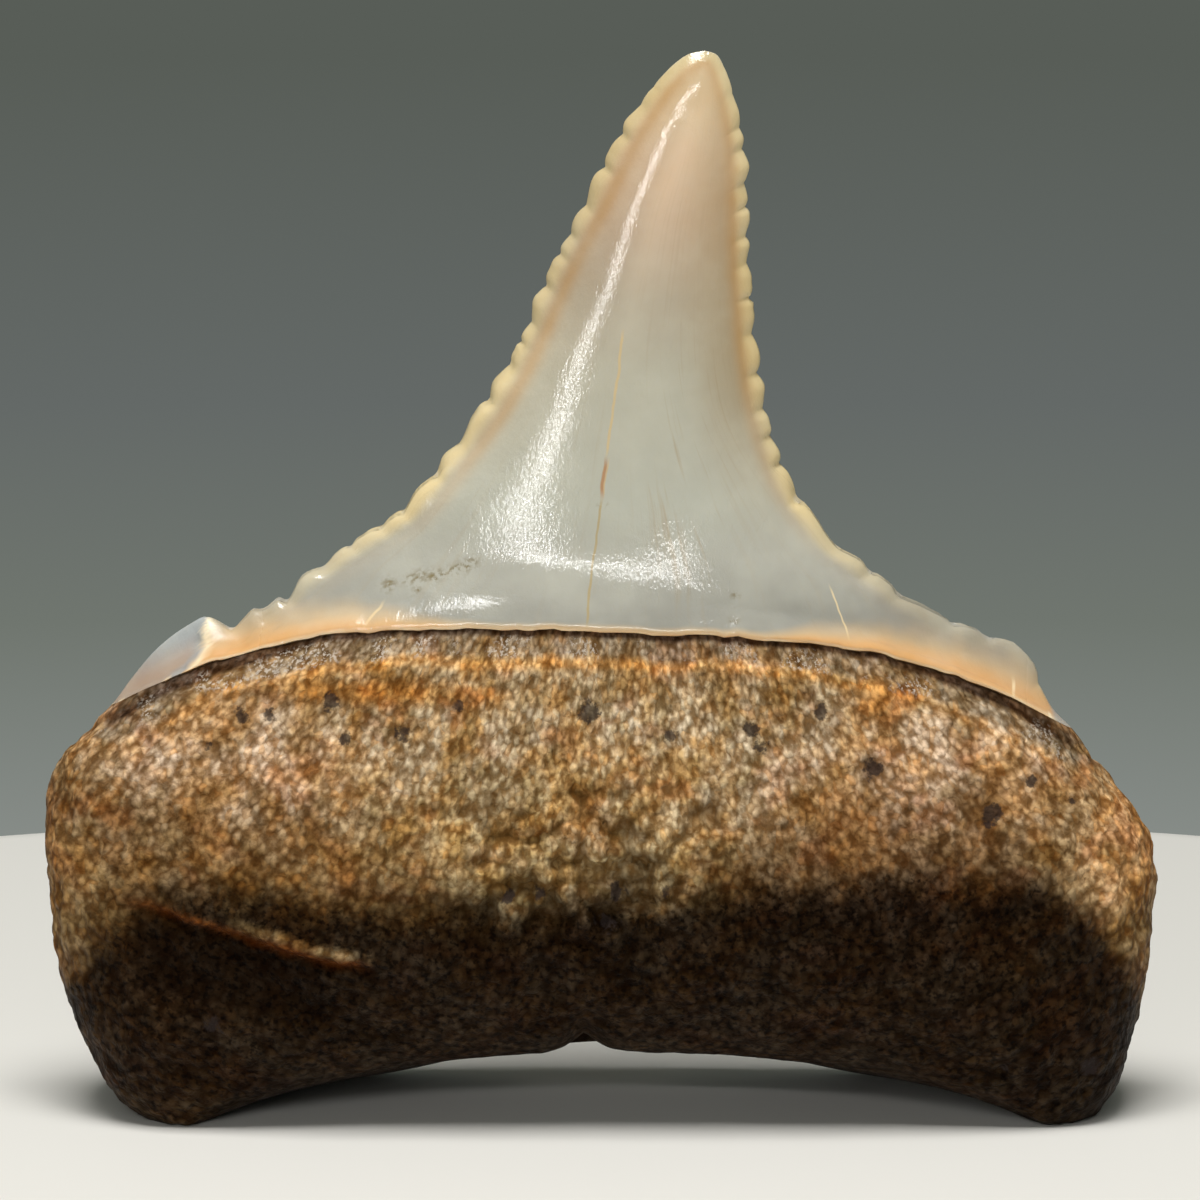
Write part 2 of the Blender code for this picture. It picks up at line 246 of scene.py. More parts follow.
@dataclass(frozen=True)
class ToothForm:
    """The smooth skin of the whole tooth, worked out from its four lines.

    Attributes:
        width: Across the root, in mm.
        height: From the surface that it stands on to the tip.
        front_share: The share of a ring's points on the bulging face.
        end_share: The share of a ring's points on each end of the root.
        end_taper: How much thinner the root is at its ends.
        front_arch_half: Half width of the arch's front rim as a share of the root's.
        back_arch_half: The same for its back rim.
        arch_power: How flat the arch is at its top.
        front_power: The power of the lens section's bulging face, less than 1 for a fuller one.
        low_ridge: How much higher that power is low on the crown, where its ridge is narrow.
        foot_ridge: How much higher again it is at the crown's foot.
        back_power: The power of its flat face.
        ridge_shift: How far right the ridge lies low on the crown, as a share of half its width.
    """

    width: float = 30.25
    height: float = 29.02
    front_share: float = 0.725
    end_share: float = 0.13
    end_taper: float = 0.15
    front_arch_half: float = 0.9
    back_arch_half: float = 0.62
    arch_power: float = 3.2
    front_power: float = 0.87
    low_ridge: float = 0.65
    foot_ridge: float = 0.45
    back_power: float = 0.75
    ridge_shift: float = 0.1

    def left(self) -> Course:
        """The left side's outline, as x and z.

        Returns:
            The line in its three stretches.
        """
        return Course(
            ((-10.8, -0.05), (-11.7, -0.05)),
            (
                (-12.6, 0.0), (-13.25, 0.45), (-13.85, 1.4), (-14.4, 2.6), (-14.85, 3.9),
                (-15.05, 5.4), (-self.width / 2, 7.3), (-15.05, 8.9), (-14.75, 9.65),
                (-14.15, 10.4),
            ),
            (
                (-13.35, 11.15), (-12.75, 11.95), (-12.0, 12.8), (-11.15, 13.4), (-10.05, 13.7),
                (-8.9, 14.1), (-7.8, 14.8), (-6.6, 15.65), (-5.3, 16.55), (-4.05, 18.1),
                (-2.85, 19.85), (-1.9, 21.7), (-1.2, 23.35), (-0.3, 25.1), (0.6, 26.85),
                (1.42, 28.1), (1.92, 28.66), (2.32, 28.93), (2.75, self.height),
            ),
        )  # fmt: skip

    def right(self) -> Course:
        """The right side's outline, as x and z.

        Returns:
            The line in its three stretches.
        """
        return Course(
            ((11.9, -0.05), (12.75, -0.05)),
            (
                (13.5, 0.0), (14.0, 0.6), (14.38, 1.6), (14.65, 2.8), (14.85, 4.2),
                (15.02, 5.5), (self.width / 2, 6.6), (15.05, 7.5), (14.5, 8.35), (13.7, 9.25),
            ),
            (
                (12.78, 10.5), (12.26, 11.04), (11.92, 11.65), (11.6, 12.2), (11.0, 12.8),
                (9.85, 13.2), (8.25, 14.05), (7.05, 14.95), (5.65, 16.25), (4.9, 17.5),
                (4.4, 19.0), (4.05, 21.1), (3.87, 23.4), (3.8, 25.5), (3.66, 27.0),
                (3.42, 28.1), (3.25, 28.6), (3.05, 28.92), (2.75, self.height),
            ),
        )  # fmt: skip

    def front(self) -> Course:
        """The middle of the bulging face, as y and z.

        Returns:
            The line in its three stretches.
        """
        return Course(
            ((0.2, 2.0), (-1.6, 2.1), (-2.75, 2.2)),
            (
                (-3.2, 2.5), (-3.6, 3.2), (-4.15, 4.6), (-4.35, 6.3), (-4.2, 8.2),
                (-3.75, 10.2), (-3.22, 12.0), (-3.0, 13.0),
            ),
            (
                (-2.85, 13.76), (-2.68, 14.2), (-2.45, 14.8), (-2.16, 15.65), (-1.96, 16.5),
                (-1.72, 18.0), (-1.45, 20.5), (-1.18, 23.0), (-0.9, 25.5), (-0.6, 27.5),
                (-0.32, 28.5), (0.0, self.height),
            ),
        )  # fmt: skip

    def back(self) -> Course:
        """The middle of the flat face, as y and z.

        Returns:
            The line in its three stretches.
        """
        return Course(
            ((0.2, 2.0), (1.7, 1.75), (2.75, 1.7)),
            ((3.1, 1.85), (3.25, 2.8), (3.2, 4.5), (3.0, 6.5), (2.7, 8.5), (2.35, 10.3)),
            (
                (2.2, 11.3), (2.2, 12.3), (2.1, 14.0), (1.9, 16.5), (1.6, 19.0), (1.3, 21.5),
                (1.0, 24.0), (0.7, 26.2), (0.42, 27.7), (0.2, 28.55), (0.0, self.height),
            ),
        )  # fmt: skip

    def round_the_ring(self, count: int) -> Array:
        """Where the points of a ring lie: 0 at the left, 0.5 at the right, 1 at the left again.

        Args:
            count: Points in the ring.

        Returns:
            One number for each point, evenly spaced on each face.
        """
        turn = np.arange(count) / count
        front = turn / self.front_share / 2
        back = 0.5 + (turn - self.front_share) / (1 - self.front_share) / 2
        return np.where(turn < self.front_share, front, back)

    def box_section(self, count: int, square: Array) -> tuple[Array, Array]:
        """The root's section, a rounded box: a square's outline divided by a power mean.

        Args:
            count: Points in a ring.
            square: The power mean's exponent, 2 for an ellipse and more for a fuller box.

        Returns:
            How far across and how far out each point is, in -1 to 1 and 0 to 1.
        """
        u = self.round_the_ring(count)
        half = np.where(u < 0.5, 2 * u, 2 - 2 * u)
        out = np.clip(np.minimum(half, 1 - half) / self.end_share, 0, 1)
        across = (half - self.end_share) / (1 - 2 * self.end_share)
        across = np.clip(across, 0, 1) * 2 - 1
        size = (np.abs(across) ** square + out**square) ** (1 / square)
        return across / size, out / size

    def lens_section(self, count: int) -> tuple[Array, Array, Array]:
        """The crown's section, a lens with sharp edges, before its power: 1 - s^2.

        Args:
            count: Points in a ring.

        Returns:
            How far across and how far out each point is, and whether it is on the front.
        """
        u = self.round_the_ring(count)
        half = np.where(u < 0.5, 2 * u, 2 - 2 * u)
        across = 0.6 * -np.cos(np.pi * half) + 0.4 * (2 * half - 1)
        return across, np.maximum(1 - across**2, 0), u < 0.5

    def rings(self, left_at: Array, right_at: Array, count: int) -> RingStack:
        """Rings on the smooth skin.

        A point is the two sides' points mixed by its place across, moved in depth by its
        share of the face's depth, and in height by the face's own line, which bows between
        the sides and makes the arch under the root.

        Args:
            left_at: Where each ring leaves the left side, counted in stretches.
            right_at: Where it reaches the right side.
            count: Points in a ring.

        Returns:
            The rings.
        """
        lens = self.lens_section(count)
        at = left_at[:, None] + (right_at - left_at)[:, None] * (lens[0] + 1) / 2
        square = np.interp(at, (UNDERSIDE, RIM, 1.5, NECK), (4.5, 4.5, 3.2, 2.1))
        box = self.box_section(count, square)
        blade = ease(at, NECK - 0.15, NECK + 0.2)
        across = (1 - blade) * box[0] + blade * lens[0]
        is_front = np.broadcast_to(lens[2], at.shape)
        foot = 1 - ease(at, NECK + 0.1, NECK + 0.28)
        low = 1 - ease(at, NECK + 0.28, NECK + 0.54)
        ridge = self.front_power + self.low_ridge * low + self.foot_ridge * foot
        turned = lens[0] - self.ridge_shift * foot * lens[1]
        front_bulge = np.maximum(1 - turned**2, 0) ** ridge
        bulge = np.where(is_front, front_bulge, lens[1] ** self.back_power)
        out = (1 - blade) * box[1] + blade * bulge

        left, right = self.left().at(at), self.right().at(at)
        front, back = self.front().at(at), self.back().at(at)
        ends = left + (right - left) * (across[..., None] + 1) / 2
        taper = 1 - self.end_taper * across**2 * ease(at, RIM, 1.4)
        y = out * taper * np.where(is_front, front[..., 0], back[..., 0])

        level = (left[..., 1] + right[..., 1]) / 2
        arched = 1 - ease(at, RIM, RIM + 0.75)
        neck = ease(at, 1.5, NECK) * (1 - ease(at, NECK, NECK + 0.07))
        bow = 1 - np.abs(across) ** (2 + neck)
        front_arch = 1 - np.minimum(np.abs(across) / self.front_arch_half, 1) ** self.arch_power
        back_arch = np.cos(np.pi / 2 * np.minimum(np.abs(across) / self.back_arch_half, 1)) ** 2
        front_z = (front[..., 1] - level) * (arched * front_arch + (1 - arched) * bow)
        back_z = (back[..., 1] - level) * (arched * back_arch + (1 - arched) * bow)
        share = 0.5 + 0.5 * np.clip(at, 0, 1) * np.where(is_front, -1, 1)
        x, z = ends[..., 0], ends[..., 1] + front_z + (back_z - front_z) * share
        # The neck's line is a little ragged, and differently on the two faces.
        beside = np.stack([x, np.where(is_front, 0.0, 9.0), 0 * x], axis=2)
        ragged = 0.05 * lumps(beside, 0.9, 31) + 0.035 * lumps(beside, 0.33, 32)
        z = z + ragged * np.exp(-(((at - NECK) / 0.03) ** 2)) * (1 - across**4)
        return RingStack(np.stack([x, y, z], axis=2), at, across, is_front)


@dataclass(frozen=True)
class Dent:
    """A round hollow, or a knob where its depth is negative.

    Attributes:
        place: Its middle on the bulging face, as x and z in mm.
        depth: How far it goes in.
        radius: Its reach.
    """

    place: Pair
    depth: float
    radius: float


@dataclass(frozen=True)
class Chip:
    """A place where the enamel's edge is broken down, or stands up where the drop is negative.

    Attributes:
        place: Its middle, as x and z in mm.
        reach: Its reach.
        drop: How far the edge goes down.
    """

    place: Pair
    reach: float
    drop: float


@dataclass
class Crown:
    """The enamel: a blade with a scalloped cutting edge on each side.

    Attributes:
        form: The tooth's smooth skin.
        left_notches: Heights of the notches between the left edge's scallops, from the bottom.
        right_notches: The same for the right edge.
        rise: A scallop's height as a share of its length.
        longest: The length past which a scallop stands out no further.
        rim: Width of the flattened band that the scallops stand on.
        groove: Depth of the shallow groove inside that band.
        swell: How much a scallop thickens the edge, as a share of its height.
        lip: How far the enamel stands out over the root at the neck.
        chips: The broken places of both shoulders and a nick of the blade's right edge.
        flake_line: The border of the flake lost from the left end, as x and z from its bottom.
        flake_depth: How far back the flake's bed lies.
        flake_ridge: Height of the low ridge along its border.
        shoulder_rows: Rows of points from the neck to the first notch.
        wide_scallops: How many scallops, from the bottom, have wide_scallop_rows.
        wide_scallop_rows: Rows of points in each of them.
        blade_scallop_rows: Rows of points in each scallop above them.
        tip_rows: Rows of points from the last notch to the tip.
        ring_points: Points in a ring.
    """

    form: ToothForm
    left_notches: tuple[float, ...] = (
        13.75, 14.3, 14.97, 15.52, 16.07, 16.5, 17.53, 18.35, 19.56, 20.54, 21.14,
        21.7, 22.67, 23.54, 24.08, 24.84, 25.87, 26.78, 27.57, 28.05, 28.45,
    )  # fmt: skip
    right_notches: tuple[float, ...] = (
        11.76, 13.03, 13.39, 14.25, 14.83, 15.52, 16.84, 17.8, 18.57, 19.31, 20.29,
        21.36, 22.39, 23.29, 24.0, 24.81, 25.46, 26.38, 26.95, 27.86, 28.56,
    )  # fmt: skip
    rise: float = 0.15
    longest: float = 1.1
    rim: float = 0.4
    groove: float = 0.012
    swell: float = 0.44
    lip: float = 0.09
    chips: tuple[Chip, ...] = (
        Chip((-9.9, 13.65), 0.55, 0.4), Chip((-9.1, 14.0), 0.4, 0.35),
        Chip((-8.45, 14.4), 0.35, 0.3), Chip((-10.8, 13.35), 0.25, -0.12),
        Chip((-10.1, 13.4), 0.16, 0.12), Chip((-9.45, 13.75), 0.14, -0.07),
        Chip((-8.8, 14.1), 0.12, -0.06), Chip((4.05, 22.4), 0.12, 0.12),
        Chip((10.4, 13.1), 0.18, 0.1), Chip((11.1, 12.75), 0.14, -0.06),
    )  # fmt: skip
    flake_line: tuple[Pair, ...] = ((-12.2, 11.6), (-11.35, 12.2), (-10.85, 12.7), (-10.72, 13.6))
    flake_depth: float = 0.22
    flake_ridge: float = 0.008
    shoulder_rows: int = 26
    wide_scallops: int = 6
    wide_scallop_rows: int = 8
    blade_scallop_rows: int = 12
    tip_rows: int = 12
    ring_points: int = 240

    def marks(self, side: Course, notches: tuple[float, ...]) -> Array:
        """Where a side reaches each notch's height, counted in stretches."""
        at = np.linspace(NECK, TIP, 4001)
        return np.interp(notches, side.at(at)[:, 1], at)

    def numbers(self) -> Array:
        """The rows along the edge, counted in scallops: 2.5 is the middle of the third.

        Returns:
            One number for each row between the first and the last notch.
        """
        wide = np.arange(self.wide_scallops * self.wide_scallop_rows) / self.wide_scallop_rows
        left_over = len(self.left_notches) - 1 - self.wide_scallops
        high = np.arange(left_over * self.blade_scallop_rows) / self.blade_scallop_rows
        return np.concatenate([wide, self.wide_scallops + high])

    def rows(self, side: Course, notches: tuple[float, ...]) -> Array:
        """The places of all the crown's rows on one side, in step with its scallops.

        Args:
            side: The side's line.
            notches: Heights of its notches.

        Returns:
            The places up the line, counted in stretches.
        """
        marks = self.marks(side, notches)
        shoulder = np.linspace(0, 1, self.shoulder_rows + 1)[:-1] ** 1.3
        tip = np.linspace(1, 0, self.tip_rows + 1) ** 1.6
        return np.concatenate([
            NECK + (marks[0] - NECK) * shoulder,
            np.interp(self.numbers(), np.arange(len(marks)), marks),
            TIP - (TIP - marks[-1]) * tip,
        ])

    def scallops(self, side: Course, notches: tuple[float, ...], salt: float) -> Array:
        """How far each row stands out at the edge.

        Each scallop is 1 - |2t - 1|^2.2 of its own share t, times its length and a random
        factor, with a small second wave on it.

        Args:
            side: The side's line.
            notches: Heights of its notches.
            salt: A number that gives another set of random factors.

        Returns:
            One distance in mm for each row.
        """
        points = side.at(self.marks(side, notches))
        lengths = np.linalg.norm(np.diff(points, axis=0), axis=1)
        number = self.numbers()
        whole = number.astype(int)
        t = number - whole
        cell = np.stack([whole, whole * 0, whole * 0], axis=1)
        lean = 0.5 * (hashed(cell, salt + 5) - 0.5)
        t = np.clip(t + lean * np.sin(np.pi * t), 0, 1)
        height = self.rise * np.minimum(lengths, self.longest)[whole]
        height *= 0.85 + 0.35 * hashed(cell, salt)
        height *= 1 - np.abs(2 * t - 1) ** 2.2
        height *= 1 + 0.3 * np.sin(3 * np.pi * t) * (hashed(cell, salt + 9) - 0.4)
        height *= 1 - 0.8 * ease(number, len(lengths) - 2.5, len(lengths) - 1)
        return np.concatenate([np.zeros(self.shoulder_rows), height, np.zeros(self.tip_rows + 1)])

    def beside_edge(self, stack: RingStack, rise: Array, side: Side) -> tuple[Array, Array, Array]:
        """Sets each point against the cutting edge that it is beside, as seen from the front.

        The edge's line and the points are turned to the edge's rough course. The line is then
        a function of the place along it, and the distance to it is the difference in the
        other coordinate times the cosine of the line's slope.

        Args:
            stack: The rings.
            rise: How far each row stands out at the edge.
            side: Which cutting edge.

        Returns:
            Each point's distance inside the edge in mm, below zero past it, the edge's rise
            beside it, and the edge's outward direction there as x and z.
        """
        angle = math.radians(side.value)
        course = np.array([math.cos(angle), math.sin(angle)])
        outward = np.array([-course[1], course[0]]) * (1 if side is Side.LEFT else -1)
        right = int(round(stack.points.shape[1] * self.form.front_share))
        line = stack.points[:, 0 if side is Side.LEFT else right][:, [0, 2]]
        along = np.maximum.accumulate(line @ course + 1e-6 * np.arange(len(line)))
        slope = np.gradient(line @ outward, along)
        flat = stack.points[:, :, [0, 2]]
        place = flat @ course
        tilt = np.interp(place, along, slope)
        cosine = 1 / np.hypot(1, tilt)
        away = (np.interp(place, along, line @ outward) - flat @ outward) * cosine
        way = (outward - tilt[:, :, None] * course) * cosine[:, :, None]
        return away, np.interp(place, along, rise), way

    def build(self) -> tuple[RingStack, Array]:
        """Makes the crown's rings with all its relief.

        Points past an edge's line are drawn back onto it, so the faces don't fold there. Each
        scallop is then pushed out by its rise, less with the distance from the edge, and both
        faces swell beside the edge by exp(-d^2).

        Returns:
            The rings, and each point's distance from the cutting edge in mm.
        """
        left, right = self.form.left(), self.form.right()
        left_at = self.rows(left, self.left_notches)
        right_at = self.rows(right, self.right_notches)
        stack = self.form.rings(left_at, right_at, self.ring_points)
        left_rise = self.scallops(left, self.left_notches, 1.0)
        right_rise = self.scallops(right, self.right_notches, 2.0)
        beside_left = self.beside_edge(stack, left_rise, Side.LEFT)
        beside_right = self.beside_edge(stack, right_rise, Side.RIGHT)
        nearer_left = beside_left[0] < beside_right[0]
        edge = np.where(nearer_left, beside_left[0], beside_right[0])
        rise = np.where(nearer_left, beside_left[1], beside_right[1])
        way = np.where(nearer_left[:, :, None], beside_left[2], beside_right[2])
        stack.points[:, :, [0, 2]] += np.minimum(edge, 0)[:, :, None] * way
        edge = np.maximum(edge, 0)
        facing = np.where(stack.front, -1.0, 1.0)
        groove = np.exp(-(((edge - self.rim - 0.1) / 0.2) ** 2))
        groove *= ease(stack.place, NECK + 0.03, NECK + 0.1)
        swell = np.exp(-(((edge - 0.14) / 0.15) ** 2))
        thicker = self.swell / 2 * rise * swell - self.groove * groove
        stack.points[:, :, 1] += facing * thicker
        half_width = np.maximum(beside_left[0] + beside_right[0], 0.01) / 2
        reach = np.minimum(self.rim, 0.8 * half_width)
        stack.points[:, :, [0, 2]] += (rise * ease(1 - edge / reach, 0.0, 1.0))[:, :, None] * way
        above = (left_at + right_at) / 2 - NECK
        lip = self.lip * (1 - ease(above, 0.0, 0.1))
        lip *= ease(above, -0.001, 0.006)
        stack.points += (lip[:, None] * (1 - stack.across**6))[:, :, None] * stack.normals()
        self.chip(stack)
        return stack, edge

    def outside_flake(self, points: Array) -> Array:
        """How far each point is past the broken flake's jagged border, to the left, in mm."""
        line_x, line_z = np.array(self.flake_line).T
        jag = 0.08 * lumps(points, 0.35, 21)
        return np.interp(points[..., 2], line_z, line_x) - points[..., 0] + jag

    def chip(self, stack: RingStack) -> None:
        """Breaks the shoulders' edges down, and a flake off the left end of the bulging face.

        A chip lowers the points by its drop times exp(-d^2). The flake's bed lies back from
        the face on the outer side of its line, by an even depth, and a low ridge runs along
        the line.

        Args:
            stack: The rings, changed in place.
        """
        points = stack.points
        for chip in self.chips:
            away = np.hypot(points[:, :, 0] - chip.place[0], points[:, :, 2] - chip.place[1])
            points[:, :, 2] -= chip.drop * np.exp(-((away / chip.reach) ** 2))
        outside = self.outside_flake(points)
        bed = ease(outside, -0.03, 0.1) * stack.front * (stack.place > NECK + 0.0005)
        depth = np.minimum(self.flake_depth, 0.35 * np.abs(points[:, :, 1]))
        points[:, :, 1] += bed * depth
        ridge = np.exp(-(((outside + 0.12) / 0.1) ** 2)) * stack.front
        ridge *= ease(points[:, :, 0], -13.0, -12.0) * (1 - ease(points[:, :, 0], -10.0, -9.0))
        points[:, :, 1] -= self.flake_ridge * ridge


@dataclass
class Root:
    """The root: a thick bar with a low arch under it, worn and granular.

    Attributes:
        form: The tooth's smooth skin.
        dents: Round hollows of the bulging face.
        knob_patch: Middle and reach of the patch of coarse knobs, as x, z and half widths.
        ledge: Both ends of the step that crosses the left half, as x and z.
        ledge_drop: How far the surface drops under the step.
        neck_step: How far the front stands back under the enamel's lip.
        arch_notch: The notch at the arch's top: its x, its half width and its height.
        underside_rows: Rows of points under the root.
        wall_rows: Rows of points from the arch's rim to the neck.
        ring_points: Points in a ring.
    """

    form: ToothForm
    dents: tuple[Dent, ...] = (
        Dent((0.45, 7.0), 0.3, 0.3), Dent((0.05, 6.15), 0.28, 0.35), Dent((-0.2, 6.3), 0.2, 0.2),
        Dent((10.85, 1.75), 0.2, 0.16), Dent((11.9, 1.1), 0.15, 0.15),
        Dent((13.1, 1.0), 0.12, 0.16), Dent((-7.0, 12.0), 0.1, 0.4),
        Dent((7.3, 10.1), 0.12, 0.35), Dent((10.4, 8.8), 0.12, 0.4),
    )  # fmt: skip
    knob_patch: tuple[float, float, float, float] = (-0.6, 7.6, 3.9, 2.3)
    ledge: tuple[Pair, Pair] = ((-12.3, 6.3), (-6.6, 4.85))
    ledge_drop: float = 0.2
    neck_step: float = 0.06
    arch_notch: tuple[float, float, float] = (-0.5, 0.5, 0.55)
    underside_rows: int = 14
    wall_rows: int = 104
    ring_points: int = 480

    def ledge_depth(self, x: Array, z: Array) -> Array:
        """How far below the ledge's line each point is, along Z, in mm."""
        (left_x, left_z), (right_x, right_z) = self.ledge
        return left_z + (right_z - left_z) / (right_x - left_x) * (x - left_x) - z

    def relief(self, stack: RingStack) -> Array:
        """How far each point stands out from the smooth wall, in mm.

        Sums smooth lumps of three sizes, knobs in the middle patch, the ledge's drop with a
        crack at its foot, and the dents, whose depth falls as exp(-d^2).

        Args:
            stack: The smooth rings.

        Returns:
            The heights, rows by points.
        """
        points = stack.points
        x, z = points[:, :, 0], points[:, :, 2]
        front = ease(-points[:, :, 1], 0.6, 1.6)
        relief = 0.09 * lumps(points, 1.5) + 0.05 * lumps(points, 0.62, 3)
        relief += 0.035 * lumps(points, 0.33, 4) + 0.09 * (pebbles(points, 0.36, 6) - 0.78)

        mid_x, mid_z, half_x, half_z = self.knob_patch
        away = ((x - mid_x) / half_x) ** 2 + ((z - mid_z) / half_z) ** 2
        patch = np.exp(-(away**1.5)) * front
        relief += patch * (0.24 * lumps(points + 31.7, 1.05) + 0.8 * (pebbles(points, 0.6) - 0.78))

        (left_x, _), (right_x, _) = self.ledge
        wavy = self.ledge_depth(x, z) + 0.14 * lumps(points, 0.8, 7)
        held = ease(x, left_x - 1.5, left_x + 1) * (1 - ease(x, right_x - 1, right_x + 1.5))
        held *= front
        relief -= self.ledge_drop * ease(wavy, -0.15, 0.25) * (1 - ease(wavy, 1.2, 3.2)) * held
        relief -= 0.12 * np.exp(-(((wavy - 0.12) / 0.1) ** 2)) * held
        beads = pebbles(points, 0.5, 5) * np.exp(-(((wavy + 0.22) / 0.16) ** 2))
        relief += 0.1 * beads * held * ease(x, left_x + 2.2, left_x + 3)

        for dent in self.dents:
            away = np.hypot(x - dent.place[0], z - dent.place[1]) / dent.radius
            relief -= dent.depth * np.exp(-(away**2)) * front
        return relief

    def build(self) -> tuple[RingStack, Array]:
        """Makes the root's rings with all its relief.

        Returns:
            The rings, and the relief at each point in mm.
        """
        sole = np.linspace(UNDERSIDE + 0.06, RIM, self.underside_rows + 1)[:-1]
        at = np.concatenate([sole, np.linspace(RIM, NECK, self.wall_rows + 1)])
        stack = self.form.rings(at, at, self.ring_points)
        relief = self.relief(stack)
        relief *= ease(at, RIM - 0.4, RIM + 0.2)[:, None]
        relief *= (1 - ease(at, NECK - 0.075, NECK - 0.04))[:, None]
        step = ease(at, NECK - 0.062, NECK - 0.05) * self.neck_step
        relief = relief - step[:, None] * (stack.points[:, :, 1] < -0.8)
        stack.points += relief[:, :, None] * stack.normals()
        x, half, height = self.arch_notch
        notch = np.exp(-((np.abs(stack.points[:, :, 0] - x) / half) ** 1.3))
        notch *= (stack.points[:, :, 1] < -1) * (1 - ease(at, RIM, RIM + 0.15))[:, None]
        stack.points[:, :, 2] = np.maximum(stack.points[:, :, 2] + height * notch, 0)
        return stack, relief


@dataclass(frozen=True)
class Stain:
    """A soft-edged patch of colour on one face of the tooth.

    Attributes:
        colour: Its sRGB hex colour.
        place: Its middle, as x and z in mm.
        reach: Its half widths across and up.
        strength: Its share of the colour at its middle.
        turn: How far it is turned, in degrees, against the clock on the bulging face.
        both: True where the flat face has it too.
    """

    colour: str
    place: Pair
    reach: Pair
    strength: float
    turn: float = 0.0
    both: bool = False

    def lay_on(self, tint: Array, points: Array, wobble: Array) -> None:
        """Mixes the patch into the tint, by exp(-d^4) of the distance in half widths.

        Args:
            tint: Linear colours, changed in place.
            points: The points' places in mm.
            wobble: Small shifts that make the patch's border uneven.
        """
        dx, dz = points[:, 0] - self.place[0], points[:, 2] - self.place[1]
        c, s = math.cos(math.radians(self.turn)), math.sin(math.radians(self.turn))
        away = ((c * dx + s * dz) / self.reach[0]) ** 2 + ((c * dz - s * dx) / self.reach[1]) ** 2
        share = self.strength * np.exp(-((away * (1 + wobble)) ** 2))
        if not self.both:
            share *= ease(-points[:, 1], -0.4, 0.4)
        blend(tint, share, self.colour)


# Settings of the nodes that are used most.
PRODUCT = {"operation": "MULTIPLY"}
SCALED_SUM = {"operation": "MULTIPLY_ADD"}
SMOOTH = {"interpolation_type": "SMOOTHSTEP"}
COLOURS = {"data_type": "RGBA"}
COLOUR_PRODUCT = {"data_type": "RGBA", "blend_type": "MULTIPLY"}
COLOUR_SUM = {"data_type": "RGBA", "blend_type": "ADD"}
# A colour mix's inputs for the colour under and for the one laid over it, and its output.
UNDER, OVER, MIXED = 6, 7, 2


def cells(size_mm: float, detail: float = 2.0, rough: float = 0.5) -> dict[str, float]:
    """The inputs of a noise on coordinates in mm, from the width of its cells in mm."""
    return {"Scale": 1 / size_mm, "Detail": detail, "Roughness": rough}


class Graph:
    """The node tree of a material or of the surround, with one way of adding a node."""

    def __init__(self, owner: Any) -> None:
        """Gives a new material or world its own first nodes.

        Args:
            owner: The material or world.
        """
        owner.use_nodes = True
        self.owner = owner
        self.tree = owner.node_tree

    def fill(self, node: Any, inputs: dict[Any, Any]) -> None:
        """Links a node's inputs to other sockets, or sets their values.

        Args:
            node: The node.
            inputs: For an input's name or number, the socket that feeds it or its value.
        """
        for name, value in inputs.items():
            if isinstance(value, bpy.types.NodeSocket):
                self.tree.links.new(value, node.inputs[name])
            else:
                node.inputs[name].default_value = value

    def add(
        self, kind: str, *first: Any, more: dict[Any, Any] | None = None, out: Any = 0, **settings: Any
    ) -> Any:
        """Adds a node, sets its properties and fills its inputs.

        Args:
            kind: The node's type, without ShaderNode before it.
            *first: What fills its first inputs, in order: sockets or values.
            more: The same for other inputs, by their names or numbers.
            out: The name or number of the wanted output.
            **settings: The node's own properties.

        Returns:
            The wanted output.
        """
        node = self.tree.nodes.new("ShaderNode" + kind)
        for name, value in settings.items():
            setattr(node, name, value)
        self.fill(node, {**dict(enumerate(first)), **(more or {})})
        return node.outputs[out]

    def toned(self, share: Any, under: Any, base: Any, tone: str) -> Any:
        """Lays a colour that is multiplied by a tone over another colour.

        Args:
            share: How much of it shows.
            under: The colour under it.
            base: The colour that is multiplied.
            tone: The tone's sRGB hex colour.

        Returns:
            The mixed colour.
        """
        over = self.add(
            "Mix", 1.0, more={UNDER: base, OVER: rgba(tone)}, out=MIXED, **COLOUR_PRODUCT
        )
        return self.add("Mix", share, more={UNDER: under, OVER: over}, out=MIXED, **COLOURS)

    def in_mm(self) -> Any:
        """The point's place in the shared frame, in mm."""
        place = self.add("TexCoord", out="Object")
        return self.add("VectorMath", place, more={3: 1 / MM}, operation="SCALE")


